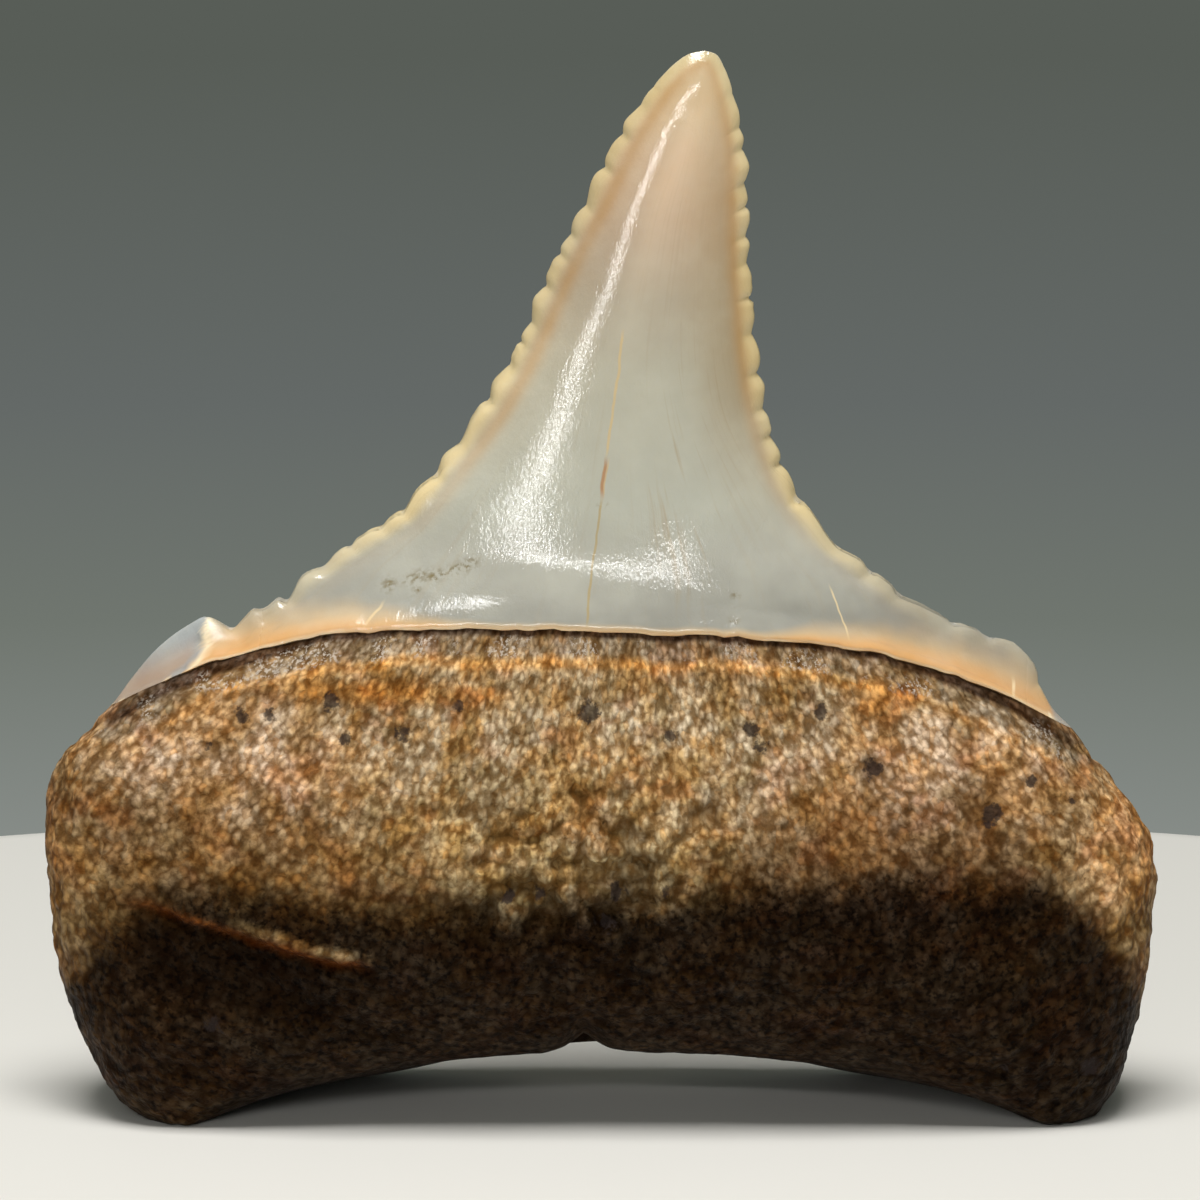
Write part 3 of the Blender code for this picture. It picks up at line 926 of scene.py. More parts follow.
@dataclass(frozen=True)
class Crack:
    """A thin, nearly straight crack in the enamel's bulging face, stained by what filled it.

    Attributes:
        start: One end, as x and z in mm.
        end: The other end.
        width: Its width in mm.
        colour: The filling's sRGB hex colour.
        strength: How much of the enamel's colour it covers.
    """

    start: Pair
    end: Pair
    width: float
    colour: str
    strength: float

    def mask(self, g: Graph, x: Any, z: Any, wander: Any) -> Any:
        """The crack's share at each point: 1 on its line, falling to 0 within its width.

        The distance to the line is a weighted sum of x and z, and so is the place along it.

        Args:
            g: The material being made.
            x: The point's x in mm.
            z: Its z in mm.
            wander: A small distance that makes the line uneven.

        Returns:
            The socket with the share.
        """
        dx, dz = self.end[0] - self.start[0], self.end[1] - self.start[1]
        length = math.hypot(dx, dz)
        ux, uz = dx / length, dz / length
        across = g.add("Math", x, uz, self.start[1] * ux - self.start[0] * uz, **SCALED_SUM)
        across = g.add("Math", z, -ux, across, **SCALED_SUM)
        across = g.add("Math", across, wander, operation="ADD")
        across = g.add("Math", across, operation="ABSOLUTE")
        along = g.add("Math", x, ux, -self.start[0] * ux - self.start[1] * uz, **SCALED_SUM)
        along = g.add("Math", z, uz, along, **SCALED_SUM)
        begun = g.add("MapRange", along, -0.1, 0.3, **SMOOTH)
        ended = g.add("MapRange", along, length - 0.3, length + 0.1, 1.0, 0.0, **SMOOTH)
        near = g.add("MapRange", across, self.width * 0.35, self.width, 1.0, 0.0, **SMOOTH)
        inside = g.add("Math", begun, ended, **PRODUCT)
        share = g.add("Math", near, inside, **PRODUCT)
        return g.add("Math", share, self.strength, **PRODUCT)


@dataclass(frozen=True)
class Enamel:
    """Tooth enamel, a smooth glassy mineral that grew in place and that burial has stained.

    It lets light in a little way, so its edges look warm and soft, and it has a clear gloss
    that fine scratches break up into sparkle.

    Attributes:
        index: Index of refraction of the mineral, apatite.
        roughness: Of the gloss between scratches.
        worn: How much rougher the gloss is at the broken ends of the shoulders.
        scratch_mm: Spacing of the fine scratches. The real ones are finer than a pixel of the
            render, so these are drawn as coarse as they need to show.
        scratch_depth: Their depth in metres.
        inner_share: The share of light that goes in and comes out again nearby.
        inner_mm: How far it goes.
        inner_reach: The same for red, green and blue, as shares of it.
        cracks: The long crack in four lengths, then the short ones of both shoulders.
    """

    index: float = 1.63
    roughness: float = 0.11
    worn: float = 0.3
    scratch_mm: float = 0.09
    scratch_depth: float = 0.00001
    inner_share: float = 0.35
    inner_mm: float = 0.6
    inner_reach: tuple[float, float, float] = (1.0, 0.85, 0.65)
    cracks: tuple[Crack, ...] = (
        Crack((0.6, 21.7), (0.12, 18.3), 0.05, "c9b184", 0.8),
        Crack((0.12, 18.3), (-0.03, 17.2), 0.07, "a87440", 0.75),
        Crack((0.2, 18.3), (0.02, 17.2), 0.03, "c9a468", 0.5),
        Crack((-0.03, 17.2), (-0.45, 13.9), 0.045, "a8925f", 0.7),
        Crack((-6.4, 13.75), (-5.85, 14.35), 0.04, "e0c79a", 0.6),
        Crack((6.1, 14.7), (6.65, 13.4), 0.035, "e6cfa2", 0.7),
        Crack((11.1, 12.0), (11.15, 11.5), 0.06, "efdcb4", 0.8),
        Crack((11.85, 11.95), (12.08, 11.15), 0.07, "f0dfbc", 0.85),
        Crack((12.08, 11.2), (12.2, 10.75), 0.06, "f0dfbc", 0.8),
    )

    def colour(self, g: Graph, in_mm: Any) -> Any:
        """The broad tint with brownish streaks, pale clouds, dirt specks and filled cracks.

        Args:
            g: The material being made.
            in_mm: The point's place in mm.

        Returns:
            The socket with the colour.
        """
        x, y, z = g.add("SeparateXYZ", in_mm).node.outputs[:3]
        front = g.add("MapRange", y, 0.15, 0.35, 1.0, 0.0, **SMOOTH)
        grain = g.add("Attribute", out="Vector", attribute_name="grain")
        colour = g.add("Attribute", out="Color", attribute_name="tint")

        drawn_out = g.add("VectorMath", grain, (1.0, 1.0, 0.05), **PRODUCT)
        streaks = g.add("TexNoise", drawn_out, more=cells(0.22, 3.0, 0.6))
        streaks = g.add("MapRange", streaks, 0.52, 0.72, **SMOOTH)
        held = g.add("Attribute", out="Fac", attribute_name="streak")
        streaks = g.add("Math", streaks, held, **PRODUCT)

        cloud = g.add("TexNoise", in_mm, more=cells(2.2, 3.0, 0.6))
        cloud = g.add("MapRange", cloud, 0.35, 0.75, 0.0, 0.14, **SMOOTH)

        speck = g.add("TexNoise", in_mm, more=cells(0.16, 3.0, 0.6))
        speck = g.add("MapRange", speck, 0.42, 0.6, **SMOOTH)
        held = g.add("Attribute", out="Fac", attribute_name="dark")
        dirt = g.add("Math", g.add("Math", held, speck, **PRODUCT), 0.9, **PRODUCT)
        dirt = g.add("Math", dirt, 1.0, operation="MINIMUM")

        layers = [(streaks, "9c8765"), (cloud, "e6e4d2"), (dirt, "6b5a2c")]
        wander = g.add("TexNoise", in_mm, more=cells(0.9))
        wander = g.add("Math", wander, 0.22, -0.11, **SCALED_SUM)
        for crack in self.cracks:
            share = g.add("Math", crack.mask(g, x, z, wander), front, **PRODUCT)
            layers.append((share, crack.colour))
        for share, over in layers:
            colour = g.add("Mix", share, more={UNDER: colour, OVER: rgba(over)}, out=MIXED, **COLOURS)
        return colour

    def material(self) -> bpy.types.Material:
        """Makes the enamel's material.

        Returns:
            The material.
        """
        g = Graph(bpy.data.materials.new("stained_enamel"))
        in_mm = g.in_mm()
        upright = g.add("VectorMath", in_mm, (1.0, 1.0, 0.55), **PRODUCT)
        scratch = g.add("TexNoise", upright, more=cells(self.scratch_mm, 2.0, 0.7))
        swirl = g.add("TexNoise", in_mm, more=cells(0.35))
        height = g.add("Math", scratch, 0.8, swirl, **SCALED_SUM)
        depth = {"Strength": 1.0, "Distance": self.scratch_depth, "Height": height}
        patches = g.add("TexNoise", in_mm, more=cells(0.7, 3.0, 0.6))
        gloss = g.add("Math", patches, 0.1, self.roughness - 0.05, **SCALED_SUM)
        dull = g.add("Attribute", out="Fac", attribute_name="dull")
        g.fill(g.tree.nodes["Principled BSDF"], {
            "Base Color": self.colour(g, in_mm),
            "Normal": g.add("Bump", more=depth),
            "Roughness": g.add("Math", dull, self.worn, gloss, **SCALED_SUM),
            "IOR": self.index,
            "Subsurface Weight": self.inner_share,
            "Subsurface Radius": self.inner_reach,
            "Subsurface Scale": self.inner_mm * MM,
        })
        return g.owner


@dataclass(frozen=True)
class FossilRoot:
    """Fossil root dentine: porous tissue of fine granules, worn by the ground and stained brown.

    Granules about 0.2 mm wide run in lines away from the crown. Each has its own shade. Their
    tops are paler, partly from wear and partly as painted light, and a little shiny, and the gaps
    between them are darker, partly from amber dirt and partly as painted shade.

    Attributes:
        granule_mm: A granule's width across its line.
        length_share: Its width as a share of its length.
        granule_height: How high the granules stand, in metres.
        index: Index of refraction of the mineral.
        sheen: Strength of its reflections, weak because the tissue is porous.
    """

    granule_mm: float = 0.21
    length_share: float = 0.75
    granule_height: float = 0.00011
    index: float = 1.56
    sheen: float = 0.4

    def granules(self, g: Graph, grain: Any) -> tuple[Any, Any]:
        """The granules, packed cells in bent lines with clusters and finer noise added.

        Args:
            g: The material being made.
            grain: The coordinates that follow the tissue.

        Returns:
            The height, and each cell's own random colour.
        """
        lined = g.add("VectorMath", grain, (1.0, 1.0, self.length_share), **PRODUCT)
        bend = g.add("TexNoise", grain, more=cells(0.25, 1.0), out="Color")
        bent = g.add("VectorMath", bend, (0.1, 0.1, 0.1), lined, **SCALED_SUM)
        packed = g.add("TexVoronoi", bent, more={"Scale": 1 / self.granule_mm}).node.outputs
        body = g.add("MapRange", packed["Distance"], 0.0, 0.8, 0.35, 0.0, **SMOOTH)
        fine = g.add("TexNoise", bent, more=cells(0.24, 3.0, 0.55))
        cluster = g.add("TexNoise", grain, more=cells(0.6))
        height = g.add("Math", cluster, 0.36, fine, **SCALED_SUM)
        return g.add("Math", body, height, operation="ADD"), packed["Color"]

    def ground(self, g: Graph, tint: Any, grain: Any, shade: Any) -> Any:
        """The broad tint, mottled and with warm, rosy, amber and grey parts.

        Args:
            g: The material being made.
            tint: The broad tint.
            grain: The coordinates that follow the tissue.
            shade: Each granule's own random colour.

        Returns:
            The socket with the colour.
        """
        mottle = g.add("TexNoise", grain, more=cells(1.1, 4.0, 0.6))
        warm = g.add("TexNoise", grain, more=cells(1.5, 3.0, 0.6))
        drawn_in = g.add("VectorMath", grain, (1.0, 1.0, 1.6), **PRODUCT)
        rosy = g.add("TexNoise", drawn_in, more=cells(1.9, 3.0, 0.6))
        own = g.add("SeparateColor", shade).node.outputs

        colour = g.toned(g.add("MapRange", mottle, 0.36, 0.6, 1.0, 0.0, **SMOOTH), tint, tint, "cec6b2")
        for pattern, low, high, most, tone in (
            (warm, 0.45, 0.62, 0.6, "f8d692"),
            (rosy, 0.5, 0.66, 0.5, "f4d6d0"),
        ):
            share = g.add("MapRange", pattern, low, high, 0.0, most, **SMOOTH)
            colour = g.toned(share, colour, colour, tone)
        base = colour
        for pattern, low, tone in ((own[1], 0.3, "f4d098"), (own[2], 0.5, "e0e2ea")):
            share = g.add("MapRange", pattern, low, 1.0, 0.0, 0.5, **SMOOTH)
            colour = g.toned(share, colour, base, tone)
        return colour

    def colour(self, g: Graph, height: Any, shade: Any) -> Any:
        """The ground's colour with dark gaps, pale tops, flecks, painted shade in hollows, painted
        light on knobs, pores and spots.

        Args:
            g: The material being made.
            height: The granules' height.
            shade: Each granule's own random colour.

        Returns:
            The socket with the colour.
        """
        tint = g.add("Attribute", out="Color", attribute_name="tint")
        grain = g.add("Attribute", out="Vector", attribute_name="grain")
        colour = self.ground(g, tint, grain, shade)

        # Paler granule tops and darker gaps: partly worn tops and amber dirt, partly painted light on
        # the tops and painted shade between them.
        bright = g.toned(1.0, colour, colour, "fffaf0")
        top = g.add("Mix", 0.36, more={UNDER: colour, OVER: bright}, out=MIXED, **COLOUR_SUM)
        gap = g.toned(1.0, colour, colour, "a29078")
        risen = g.add("MapRange", height, 0.54, 1.16, **SMOOTH)
        colour = g.add("Mix", risen, more={UNDER: gap, OVER: top}, out=MIXED, **COLOURS)

        in_places = g.add("TexNoise", grain, more=cells(1.3))
        in_places = g.add("MapRange", in_places, 0.46, 0.62, 0.0, 0.6, **SMOOTH)
        flecks = g.add("TexNoise", grain, more=cells(0.1, 2.0, 0.6))
        flecks = g.add("MapRange", flecks, 0.5, 0.6, **SMOOTH)
        held = g.add("Attribute", out="Fac", attribute_name="band")
        flecks = g.add("Math", held, flecks, **PRODUCT)
        flecks = g.add("Math", flecks, in_places, **PRODUCT)
        colour = g.add(
            "Mix", flecks, more={UNDER: colour, OVER: rgba("c8bcae")}, out=MIXED, **COLOURS
        )

        # Painted shade in the relief's hollows, dents and under the ledge, and painted light on the
        # knobs' tops.
        depth = g.add("Attribute", out="Fac", attribute_name="hollow")
        hollow = g.add("MapRange", depth, 0.03, 0.2, 0.0, 0.7, **SMOOTH)
        colour = g.toned(hollow, colour, tint, "6e5638")
        knob = g.add("MapRange", depth, -0.24, -0.07, 0.3, 0.0, **SMOOTH)
        colour = g.add("Mix", knob, more={UNDER: colour, OVER: colour}, out=MIXED, **COLOUR_SUM)

        # Pores show most where the tint is dark.
        redness = g.add("SeparateColor", tint)
        darkest = g.add("MapRange", redness, 0.03, 0.16, 0.72, 0.12, **SMOOTH)
        pores = g.add("TexNoise", grain, more=cells(0.15, 2.0, 0.6))
        pores = g.add("MapRange", pores, 0.34, 0.52, 1.0, 0.0, **SMOOTH)
        pores = g.add("Math", darkest, pores, **PRODUCT)
        colour = g.toned(pores, colour, colour, "3c2c20")

        uneven = g.add("TexNoise", g.in_mm(), more=cells(0.3, 3.0, 0.7))
        uneven = g.add("Math", uneven, 2.4, -1.25, **SCALED_SUM)
        dark = g.add("Attribute", out="Fac", attribute_name="dark")
        spot = g.add("Math", uneven, 0.8, dark, **SCALED_SUM)
        spot = g.add("MapRange", spot, 0.45, 0.8, 0.0, 0.82, **SMOOTH)
        return g.add("Mix", spot, more={UNDER: colour, OVER: rgba("28211f")}, out=MIXED, **COLOURS)

    def material(self) -> bpy.types.Material:
        """Makes the root's material.

        Returns:
            The material.
        """
        g = Graph(bpy.data.materials.new("fossil_root_dentine"))
        grain = g.add("Attribute", out="Vector", attribute_name="grain")
        height, shade = self.granules(g, grain)
        colour = self.colour(g, height, shade)
        depth = {"Strength": 1.0, "Distance": self.granule_height, "Height": height}
        g.fill(g.tree.nodes["Principled BSDF"], {
            "Base Color": colour,
            "Specular Tint": colour,
            "Normal": g.add("Bump", more=depth),
            "Roughness": g.add("Math", height, -0.35, 0.95, **SCALED_SUM),
            "IOR": self.index,
            "Specular IOR Level": self.sheen,
        })
        return g.owner


@dataclass
class FossilTooth:
    """The whole tooth as one closed mesh, dressed with its two finishes.

    Attributes:
        form: The smooth skin.
        enamel: The crown's finish.
        dentine: The root's finish.
        fan: The point that the root's lines fan out from, as x and z in mm.
        fan_radius: Mean distance from it, which turns angles to mm.
        blade_half: The blade's mean half width, which turns shares across it to mm.
    """

    form: ToothForm = field(default_factory=ToothForm)
    enamel: Enamel = field(default_factory=Enamel)
    dentine: FossilRoot = field(default_factory=FossilRoot)
    fan: Pair = (0.5, 27.0)
    fan_radius: float = 20.0
    blade_half: float = 7.0

    def __post_init__(self) -> None:
        """Gives the crown and the root the same skin."""
        self.crown = Crown(self.form)
        self.root = Root(self.form)

    def strip(self, lower: Array, upper: Array, low_at: Array, high_at: Array) -> Array:
        """Triangles between two chains of points with any counts.

        The chains are walked together: each next step is on the chain whose next point comes
        first, so the steps' order is a sort of both chains' places.

        Args:
            lower: Vertex numbers of the lower chain.
            upper: Vertex numbers of the upper chain.
            low_at: Growing places of the lower chain's points.
            high_at: Growing places of the upper chain's points.

        Returns:
            The triangles, as rows of three vertex numbers.
        """
        step_at = np.concatenate([low_at[1:], high_at[1:]])
        on_lower = np.concatenate([np.ones(len(lower) - 1, bool), np.zeros(len(upper) - 1, bool)])
        on_lower = on_lower[np.argsort(step_at, kind="stable")]
        i = np.cumsum(on_lower) - on_lower
        j = np.cumsum(~on_lower) - ~on_lower
        last = np.where(on_lower, lower[np.minimum(i + 1, len(lower) - 1)],
                        upper[np.minimum(j + 1, len(upper) - 1)])  # fmt: skip
        made = np.stack([lower[i], last, upper[j]], axis=1)
        distinct = (made[:, 0] != made[:, 1]) & (made[:, 1] != made[:, 2])
        return made[distinct & (made[:, 0] != made[:, 2])]

    def wall(self, first: int, rows: int, count: int) -> Array:
        """Quads between the rings of one stack.

        Args:
            first: The stack's first vertex number.
            rows: How many rings it has.
            count: Points in each.

        Returns:
            Rows of four vertex numbers.
        """
        row = first + count * np.arange(rows - 1)[:, None]
        a = row + np.arange(count)
        b = row + (np.arange(count) + 1) % count
        return np.stack([a, b, b + count, a + count], axis=2).reshape(-1, 4)

    def neck_distance(self, points: Array, front: Array, line: Array) -> Array:
        """How far each point is above the enamel's lower border, in mm, negative below it.

        It is the height above the border at the same x, times the cosine of its slope.

        Args:
            points: The points' places.
            front: True on the bulging face.
            line: The border's points, once round the tooth.

        Returns:
            The distances.
        """
        found = np.zeros(len(points))
        right = int(round(len(line) * self.form.front_share))
        back = np.concatenate([line[right:], line[:1]])[::-1]
        for chain, chosen in ((line[: right + 1], front), (back, ~front)):
            grid = np.linspace(chain[0, 0], chain[-1, 0], 200)
            height = np.interp(grid, chain[:, 0], chain[:, 2])
            tilt = np.cos(np.arctan(np.gradient(height, grid)))
            x = points[chosen, 0]
            found[chosen] = points[chosen, 2] - np.interp(x, grid, height)
            found[chosen] *= np.interp(x, grid, tilt)
        return found

    def crown_tint(self, points: Array, edge: Array, neck: Array) -> Array:
        """The enamel's broad colours: grey-ivory low down, peach at the tip, and a cream rim.

        Args:
            points: The points' places in mm.
            edge: Distance from the cutting edge.
            neck: Distance above the enamel's lower border.

        Returns:
            Linear colours, one for each point.
        """
        x, z = points[:, 0], points[:, 2]
        wobble = 0.35 * lumps(points, 1.1, 11) + 0.2 * lumps(points, 0.45, 12)
        heights = [height for height, _ in CROWN_COLOURS]
        ramp = np.array([linear(hex_code) for _, hex_code in CROWN_COLOURS])
        tint = np.stack([np.interp(z, heights, ramp[:, i]) for i in range(3)], axis=1)

        # An amber haze and a sharper amber line inside the cream rim of the scallops.
        high = ease(z, 14.5, 21.0)
        to_right = ease(x, 0.5, 3.0)
        haze = (1 - ease(edge, 0.4, 2.4)) * (0.3 + 0.7 * to_right)
        blend(tint, 0.45 * haze * high, "a88a58")
        amber = np.exp(-(((edge - 0.42 + 0.12 * to_right) / 0.22) ** 2))
        blend(tint, (0.06 + 0.49 * high) * amber, "b98a48")
        rim = 1 - ease(edge + 0.06 * wobble, 0.1, 0.36)
        blend(tint, rim * (0.15 + 0.7 * ease(z, 13.5, 17.0)), "d2bc8a")

        # The blade is a little darker on the left of its ridge.
        ridge_at = np.interp(z, *np.array(BLADE_RIDGE).T)
        flank = (1 - ease(x - ridge_at, -0.5, 0.4)) * ease(z, 19.5, 24.0)
        tint *= (1 - 0.24 * flank)[:, None]

        # The neck's warm band, wider at the shoulders, and the enamel's broken cream border.
        band = 0.17 + 0.55 * ease(np.abs(x - 0.2), 3.0, 9.0)
        lift = neck * (1 + 0.35 * wobble)
        blend(tint, 0.55 * (1 - ease(lift, band * 0.3, band * 1.5)), "e4b878")
        blend(tint, 0.7 * (1 - ease(lift, band * 0.1, band * 0.75)), "d09450")
        broken = 0.25 + 0.5 * ease(wobble, -0.15, 0.2)
        blend(tint, broken * (1 - ease(lift + 0.05 * wobble, 0.03, 0.1)), "ecd9b4")

        # The flake's bluish bed, its stained foot and its pale ridge.
        flake = self.crown.outside_flake(points)
        at_end = ease(-x, 9.9, 10.2) * (neck > 0)
        blend(tint, 0.85 * ease(flake, -0.02, 0.08) * at_end, "8b9296")
        foot = 1 - ease(neck, 0.1, 0.8)
        blend(tint, 0.5 * ease(flake, 0.1, 0.3) * at_end * foot, "a5794c")
        blend(tint, 0.9 * np.exp(-(((flake + 0.06) / 0.09) ** 2)) * at_end, "efdcb8")

        # The bluish strip outside the right end's crack.
        beyond = x - np.interp(z, *np.array(RIGHT_END_CRACK).T)
        blend(tint, 0.75 * ease(beyond, 0.04, 0.18), "8c9093")
        return tint

    def root_tint(self, points: Array, neck: Array) -> Array:
        """The root's broad colours: a brown ground with stains laid on it, and painted shade on its
        lower half.

        Args:
            points: The points' places in mm.
            neck: Distance above the enamel's lower border, negative on the root.

        Returns:
            Linear colours, one for each point.
        """
        x, y, z = points.T
        tint = np.tile(np.array(linear(ROOT_GROUND)), (len(points), 1))
        wobble = 0.35 * lumps(points, 1.1, 11) + 0.25 * lumps(points, 0.45, 12)
        for stain in ROOT_STAINS:
            stain.lay_on(tint, points, wobble)
        front = ease(-y, 0.0, 1.0)

        # Painted shade: the lower half, where the wall turns under, is darkened as if in shadow; its
        # border falls towards the back.
        crest = np.interp(x, *np.array(PAINTED_SHADE_LINE).T) - np.maximum(y + 2.8, 0)
        low = 1 - ease(z + 0.9 * wobble, crest - 1.1, crest + 1.0)
        blend(tint, (0.95 - 0.1 * ease(-x, 9.0, 13.0)) * low, "1d1510")

        # The scar's rusty line and the pale beads along it.
        ledge = self.root.ledge_depth(x, z) + 0.3 * wobble
        held = ease(x, -13.5, -12.0) * (1 - ease(x, -7.0, -6.0)) * front
        blend(tint, 0.6 * np.exp(-(((ledge - 0.05) / 0.15) ** 2)) * held, "96581e")
        beads = ease(pebbles(points, 0.5, 5), 0.45, 0.8) * held * ease(x, -10.2, -9.4)
        blend(tint, 0.6 * np.exp(-(((ledge + 0.22) / 0.14) ** 2)) * beads, "c8b088")

        # Under the enamel: a pale band, a dark line at its top and a golden line at its foot.
        depth = -neck + 0.1 * wobble
        middle = 1 - ease(np.abs(x - 0.5), 6.0, 11.0)
        blend(tint, front * ease(depth, -0.05, 0.05) * (1 - ease(depth, 0.6, 0.74)), "a69680")
        dark_to = 0.2 + 0.14 * (1 - middle)
        blend(tint, 0.85 * front * (1 - ease(depth, dark_to - 0.09, dark_to + 0.05)), "3e2820")
        wavy = depth + 0.12 * lumps(points, 1.7, 41)
        line = np.exp(-(((wavy - 0.8) / 0.13) ** 2)) * front
        blend(tint, 0.95 * line * (0.35 + 0.65 * middle), "f0c488")
        return tint

    def build(self) -> bpy.types.Object:
        """Makes the mesh, its values for the shaders and its materials.

        The crown's rings keep every point up to the middle of the blade's foot, and every
        second one above it, where the rings are short.

        Returns:
            The tooth's object, at the origin.
        """
        crown, crown_edge = self.crown.build()
        root, relief = self.root.build()
        split = self.crown.shoulder_rows + self.crown.wide_scallops * self.crown.wide_scallop_rows

        def thinned(values: Array) -> tuple[Array, Array]:
            """The crown's lower rings, and its upper ones with half the points."""
            return values[: split + 1], values[split + 1 : -1, ::2]

        def joined(on_root: Array, on_crown: Array, at_tip: Any) -> Array:
            """One value for each of the tooth's points, from the root up."""
            low, high = thinned(on_crown)
            return np.concatenate([on_root.ravel(), low.ravel(), high.ravel(), [at_tip]])

        stacks = (root.points, *thinned(crown.points))
        firsts = np.cumsum([0] + [s.shape[0] * s.shape[1] for s in stacks])
        points = np.concatenate([s.reshape(-1, 3) for s in stacks] + [crown.points[-1, :1]])
        quads = [self.wall(int(f), *s.shape[:2]) for f, s in zip(firsts, stacks, strict=False)]
        triangles = self.joints(firsts, stacks)
        is_enamel = np.arange(len(points)) >= firsts[1]
        front = joined(root.front, crown.front, True)
        edge = joined(np.full(root.place.size, 9.0), crown_edge, 0.0)
        neck = self.neck_distance(points, front, crown.points[0])

        on_neck = np.where(triangles.max(axis=1) < firsts[1] + self.crown.ring_points, 0, 1)
        slots = np.concatenate([np.repeat((0, 1, 1), [len(q) for q in quads]), on_neck])
        mesh = self.mesh(self.fitted(points), np.concatenate(quads), triangles, slots)
        values = {
            # How deep each point lies in the relief; the root's material turns it into painted shade in
            # hollows and painted light on knobs.
            "hollow": np.concatenate([-relief.ravel(), np.zeros(len(points) - relief.size)]),
            "dark": self.darkness(points, is_enamel, front),
            "streak": self.streaks(points),
            "dull": ease(-points[:, 0], 8.6, 9.8) + ease(points[:, 0], 11.0, 12.0),
            "band": ease(-neck, 0.12, 0.25) * (1 - ease(-neck, 0.6, 0.75)) * front,
        }
        for name, value in values.items():
            data = mesh.attributes.new(name, "FLOAT", "POINT").data
            data.foreach_set("value", value.astype(np.float32))
        tint = self.root_tint(points, neck)
        tint[is_enamel] = self.crown_tint(points, edge, neck)[is_enamel]
        colours = np.concatenate([tint, np.ones((len(tint), 1))], axis=1)
        data = mesh.attributes.new("tint", "FLOAT_COLOR", "POINT").data
        data.foreach_set("color", colours.astype(np.float32).ravel())
        grain = self.grain(points, is_enamel, joined(root.across, crown.across, 0.0), front)
        data = mesh.attributes.new("grain", "FLOAT_VECTOR", "POINT").data
        data.foreach_set("vector", grain.astype(np.float32).ravel())

        piece = bpy.data.objects.new("fossil_tooth", mesh)
        bpy.context.scene.collection.objects.link(piece)
        faces = 2 * sum(len(q) for q in quads) + len(triangles)
        log.info("fossil_tooth: %d points, %d triangles", len(points), faces)
        return piece

    def fitted(self, points: Array) -> Array:
        """Places the points over the origin, and draws them in where they pass the CAD's box.

        Each axis is scaled about the middle of the points' own box, never up.

        Args:
            points: Places in mm.

        Returns:
            The places in the shared frame, in mm.
        """
        low, high = points.min(axis=0), points.max(axis=0)
        box_low, box_high = (np.array(corner) / MM for corner in CAD_BOX)
        scale = np.minimum((box_high - box_low) / (high - low), 1)
        middle = (box_low + box_high) / 2
        return (points - (low + high) / 2) * scale + middle

    def joints(self, firsts: Array, stacks: tuple[Array, ...]) -> Array:
        """Triangles that close the sole, join the stacks and close the tip.

        Args:
            firsts: Each stack's first vertex number, and the tip's last.
            stacks: The three stacks of rings.

        Returns:
            The triangles.
        """
        made = []
        for i in (0, 1):
            count, next_count = stacks[i].shape[1], stacks[i + 1].shape[1]
            lower = firsts[i] + (stacks[i].shape[0] - 1) * count + np.arange(count + 1) % count
            upper = firsts[i + 1] + np.arange(next_count + 1) % next_count
            low_at = np.append(self.form.round_the_ring(count), 1.0)
            high_at = np.append(self.form.round_the_ring(next_count), 1.0)
            made.append(self.strip(lower, upper, low_at, high_at))
        count = self.root.ring_points
        right = int(round(count * self.form.front_share))
        turn = self.form.round_the_ring(count)
        front_chain = np.arange(right + 1)
        back_chain = np.append(np.arange(right, count), 0)[::-1]
        back_at = 1 - np.append(turn[right:], 1.0)[::-1]
        made.append(self.strip(back_chain, front_chain, back_at, turn[: right + 1]))
        count = stacks[2].shape[1]
        last = firsts[2] + (stacks[2].shape[0] - 1) * count + np.arange(count)
        made.append(np.stack([last, np.roll(last, -1), np.full(count, firsts[3])], axis=1))
        return np.concatenate(made)

    def mesh(self, points: Array, quads: Array, triangles: Array, slots: Array) -> bpy.types.Mesh:
        """Puts the arrays into a mesh in metres, with its two materials.

        Args:
            points: Vertex places in mm.
            quads: Rows of four vertex numbers.
            triangles: Rows of three.
            slots: The material's number of each face, quads first.

        Returns:
            The mesh.
        """
        mesh = bpy.data.meshes.new("fossil_tooth")
        mesh.vertices.add(len(points))
        mesh.vertices.foreach_set("co", (points * MM).astype(np.float32).ravel())
        corners = np.concatenate([quads.ravel(), triangles.ravel()])
        sizes = np.concatenate([np.full(len(quads), 4), np.full(len(triangles), 3)])
        mesh.loops.add(len(corners))
        mesh.loops.foreach_set("vertex_index", corners.astype(np.int32))
        mesh.polygons.add(len(sizes))
        mesh.polygons.foreach_set("loop_start", (np.cumsum(sizes) - sizes).astype(np.int32))
        mesh.polygons.foreach_set("material_index", slots.astype(np.int32))
        mesh.materials.append(self.dentine.material())
        mesh.materials.append(self.enamel.material())
        mesh.update(calc_edges=True)
        mesh.shade_smooth()
        return mesh

    def grain(self, points: Array, enamel: Array, across: Array, front: Array) -> Array:
        """Coordinates in mm that follow the tissue's lines: across them, in depth, along them.

        On the root the lines fan out from a point up in the crown, so the place across is the
        angle from it times a mean radius and the place along is the distance from it. On the
        crown they run to the tip, so the place across is the share across the blade.

        Args:
            points: The points' places.
            enamel: True on the crown.
            across: Each point's place across, from -1 to 1.
            front: True on the bulging face.

        Returns:
            The coordinates, one row for each point.
        """
        dx, dz = points[:, 0] - self.fan[0], self.fan[1] - points[:, 2]
        around = np.arctan2(dx, dz) * self.fan_radius
        fan = np.stack([around, points[:, 1], np.hypot(dx, dz)], axis=1)
        apart = np.where(front, 0.0, 50.0)
        blade = np.stack([across * self.blade_half, apart, points[:, 2]], axis=1)
        return np.where(enamel[:, None], blade, fan)

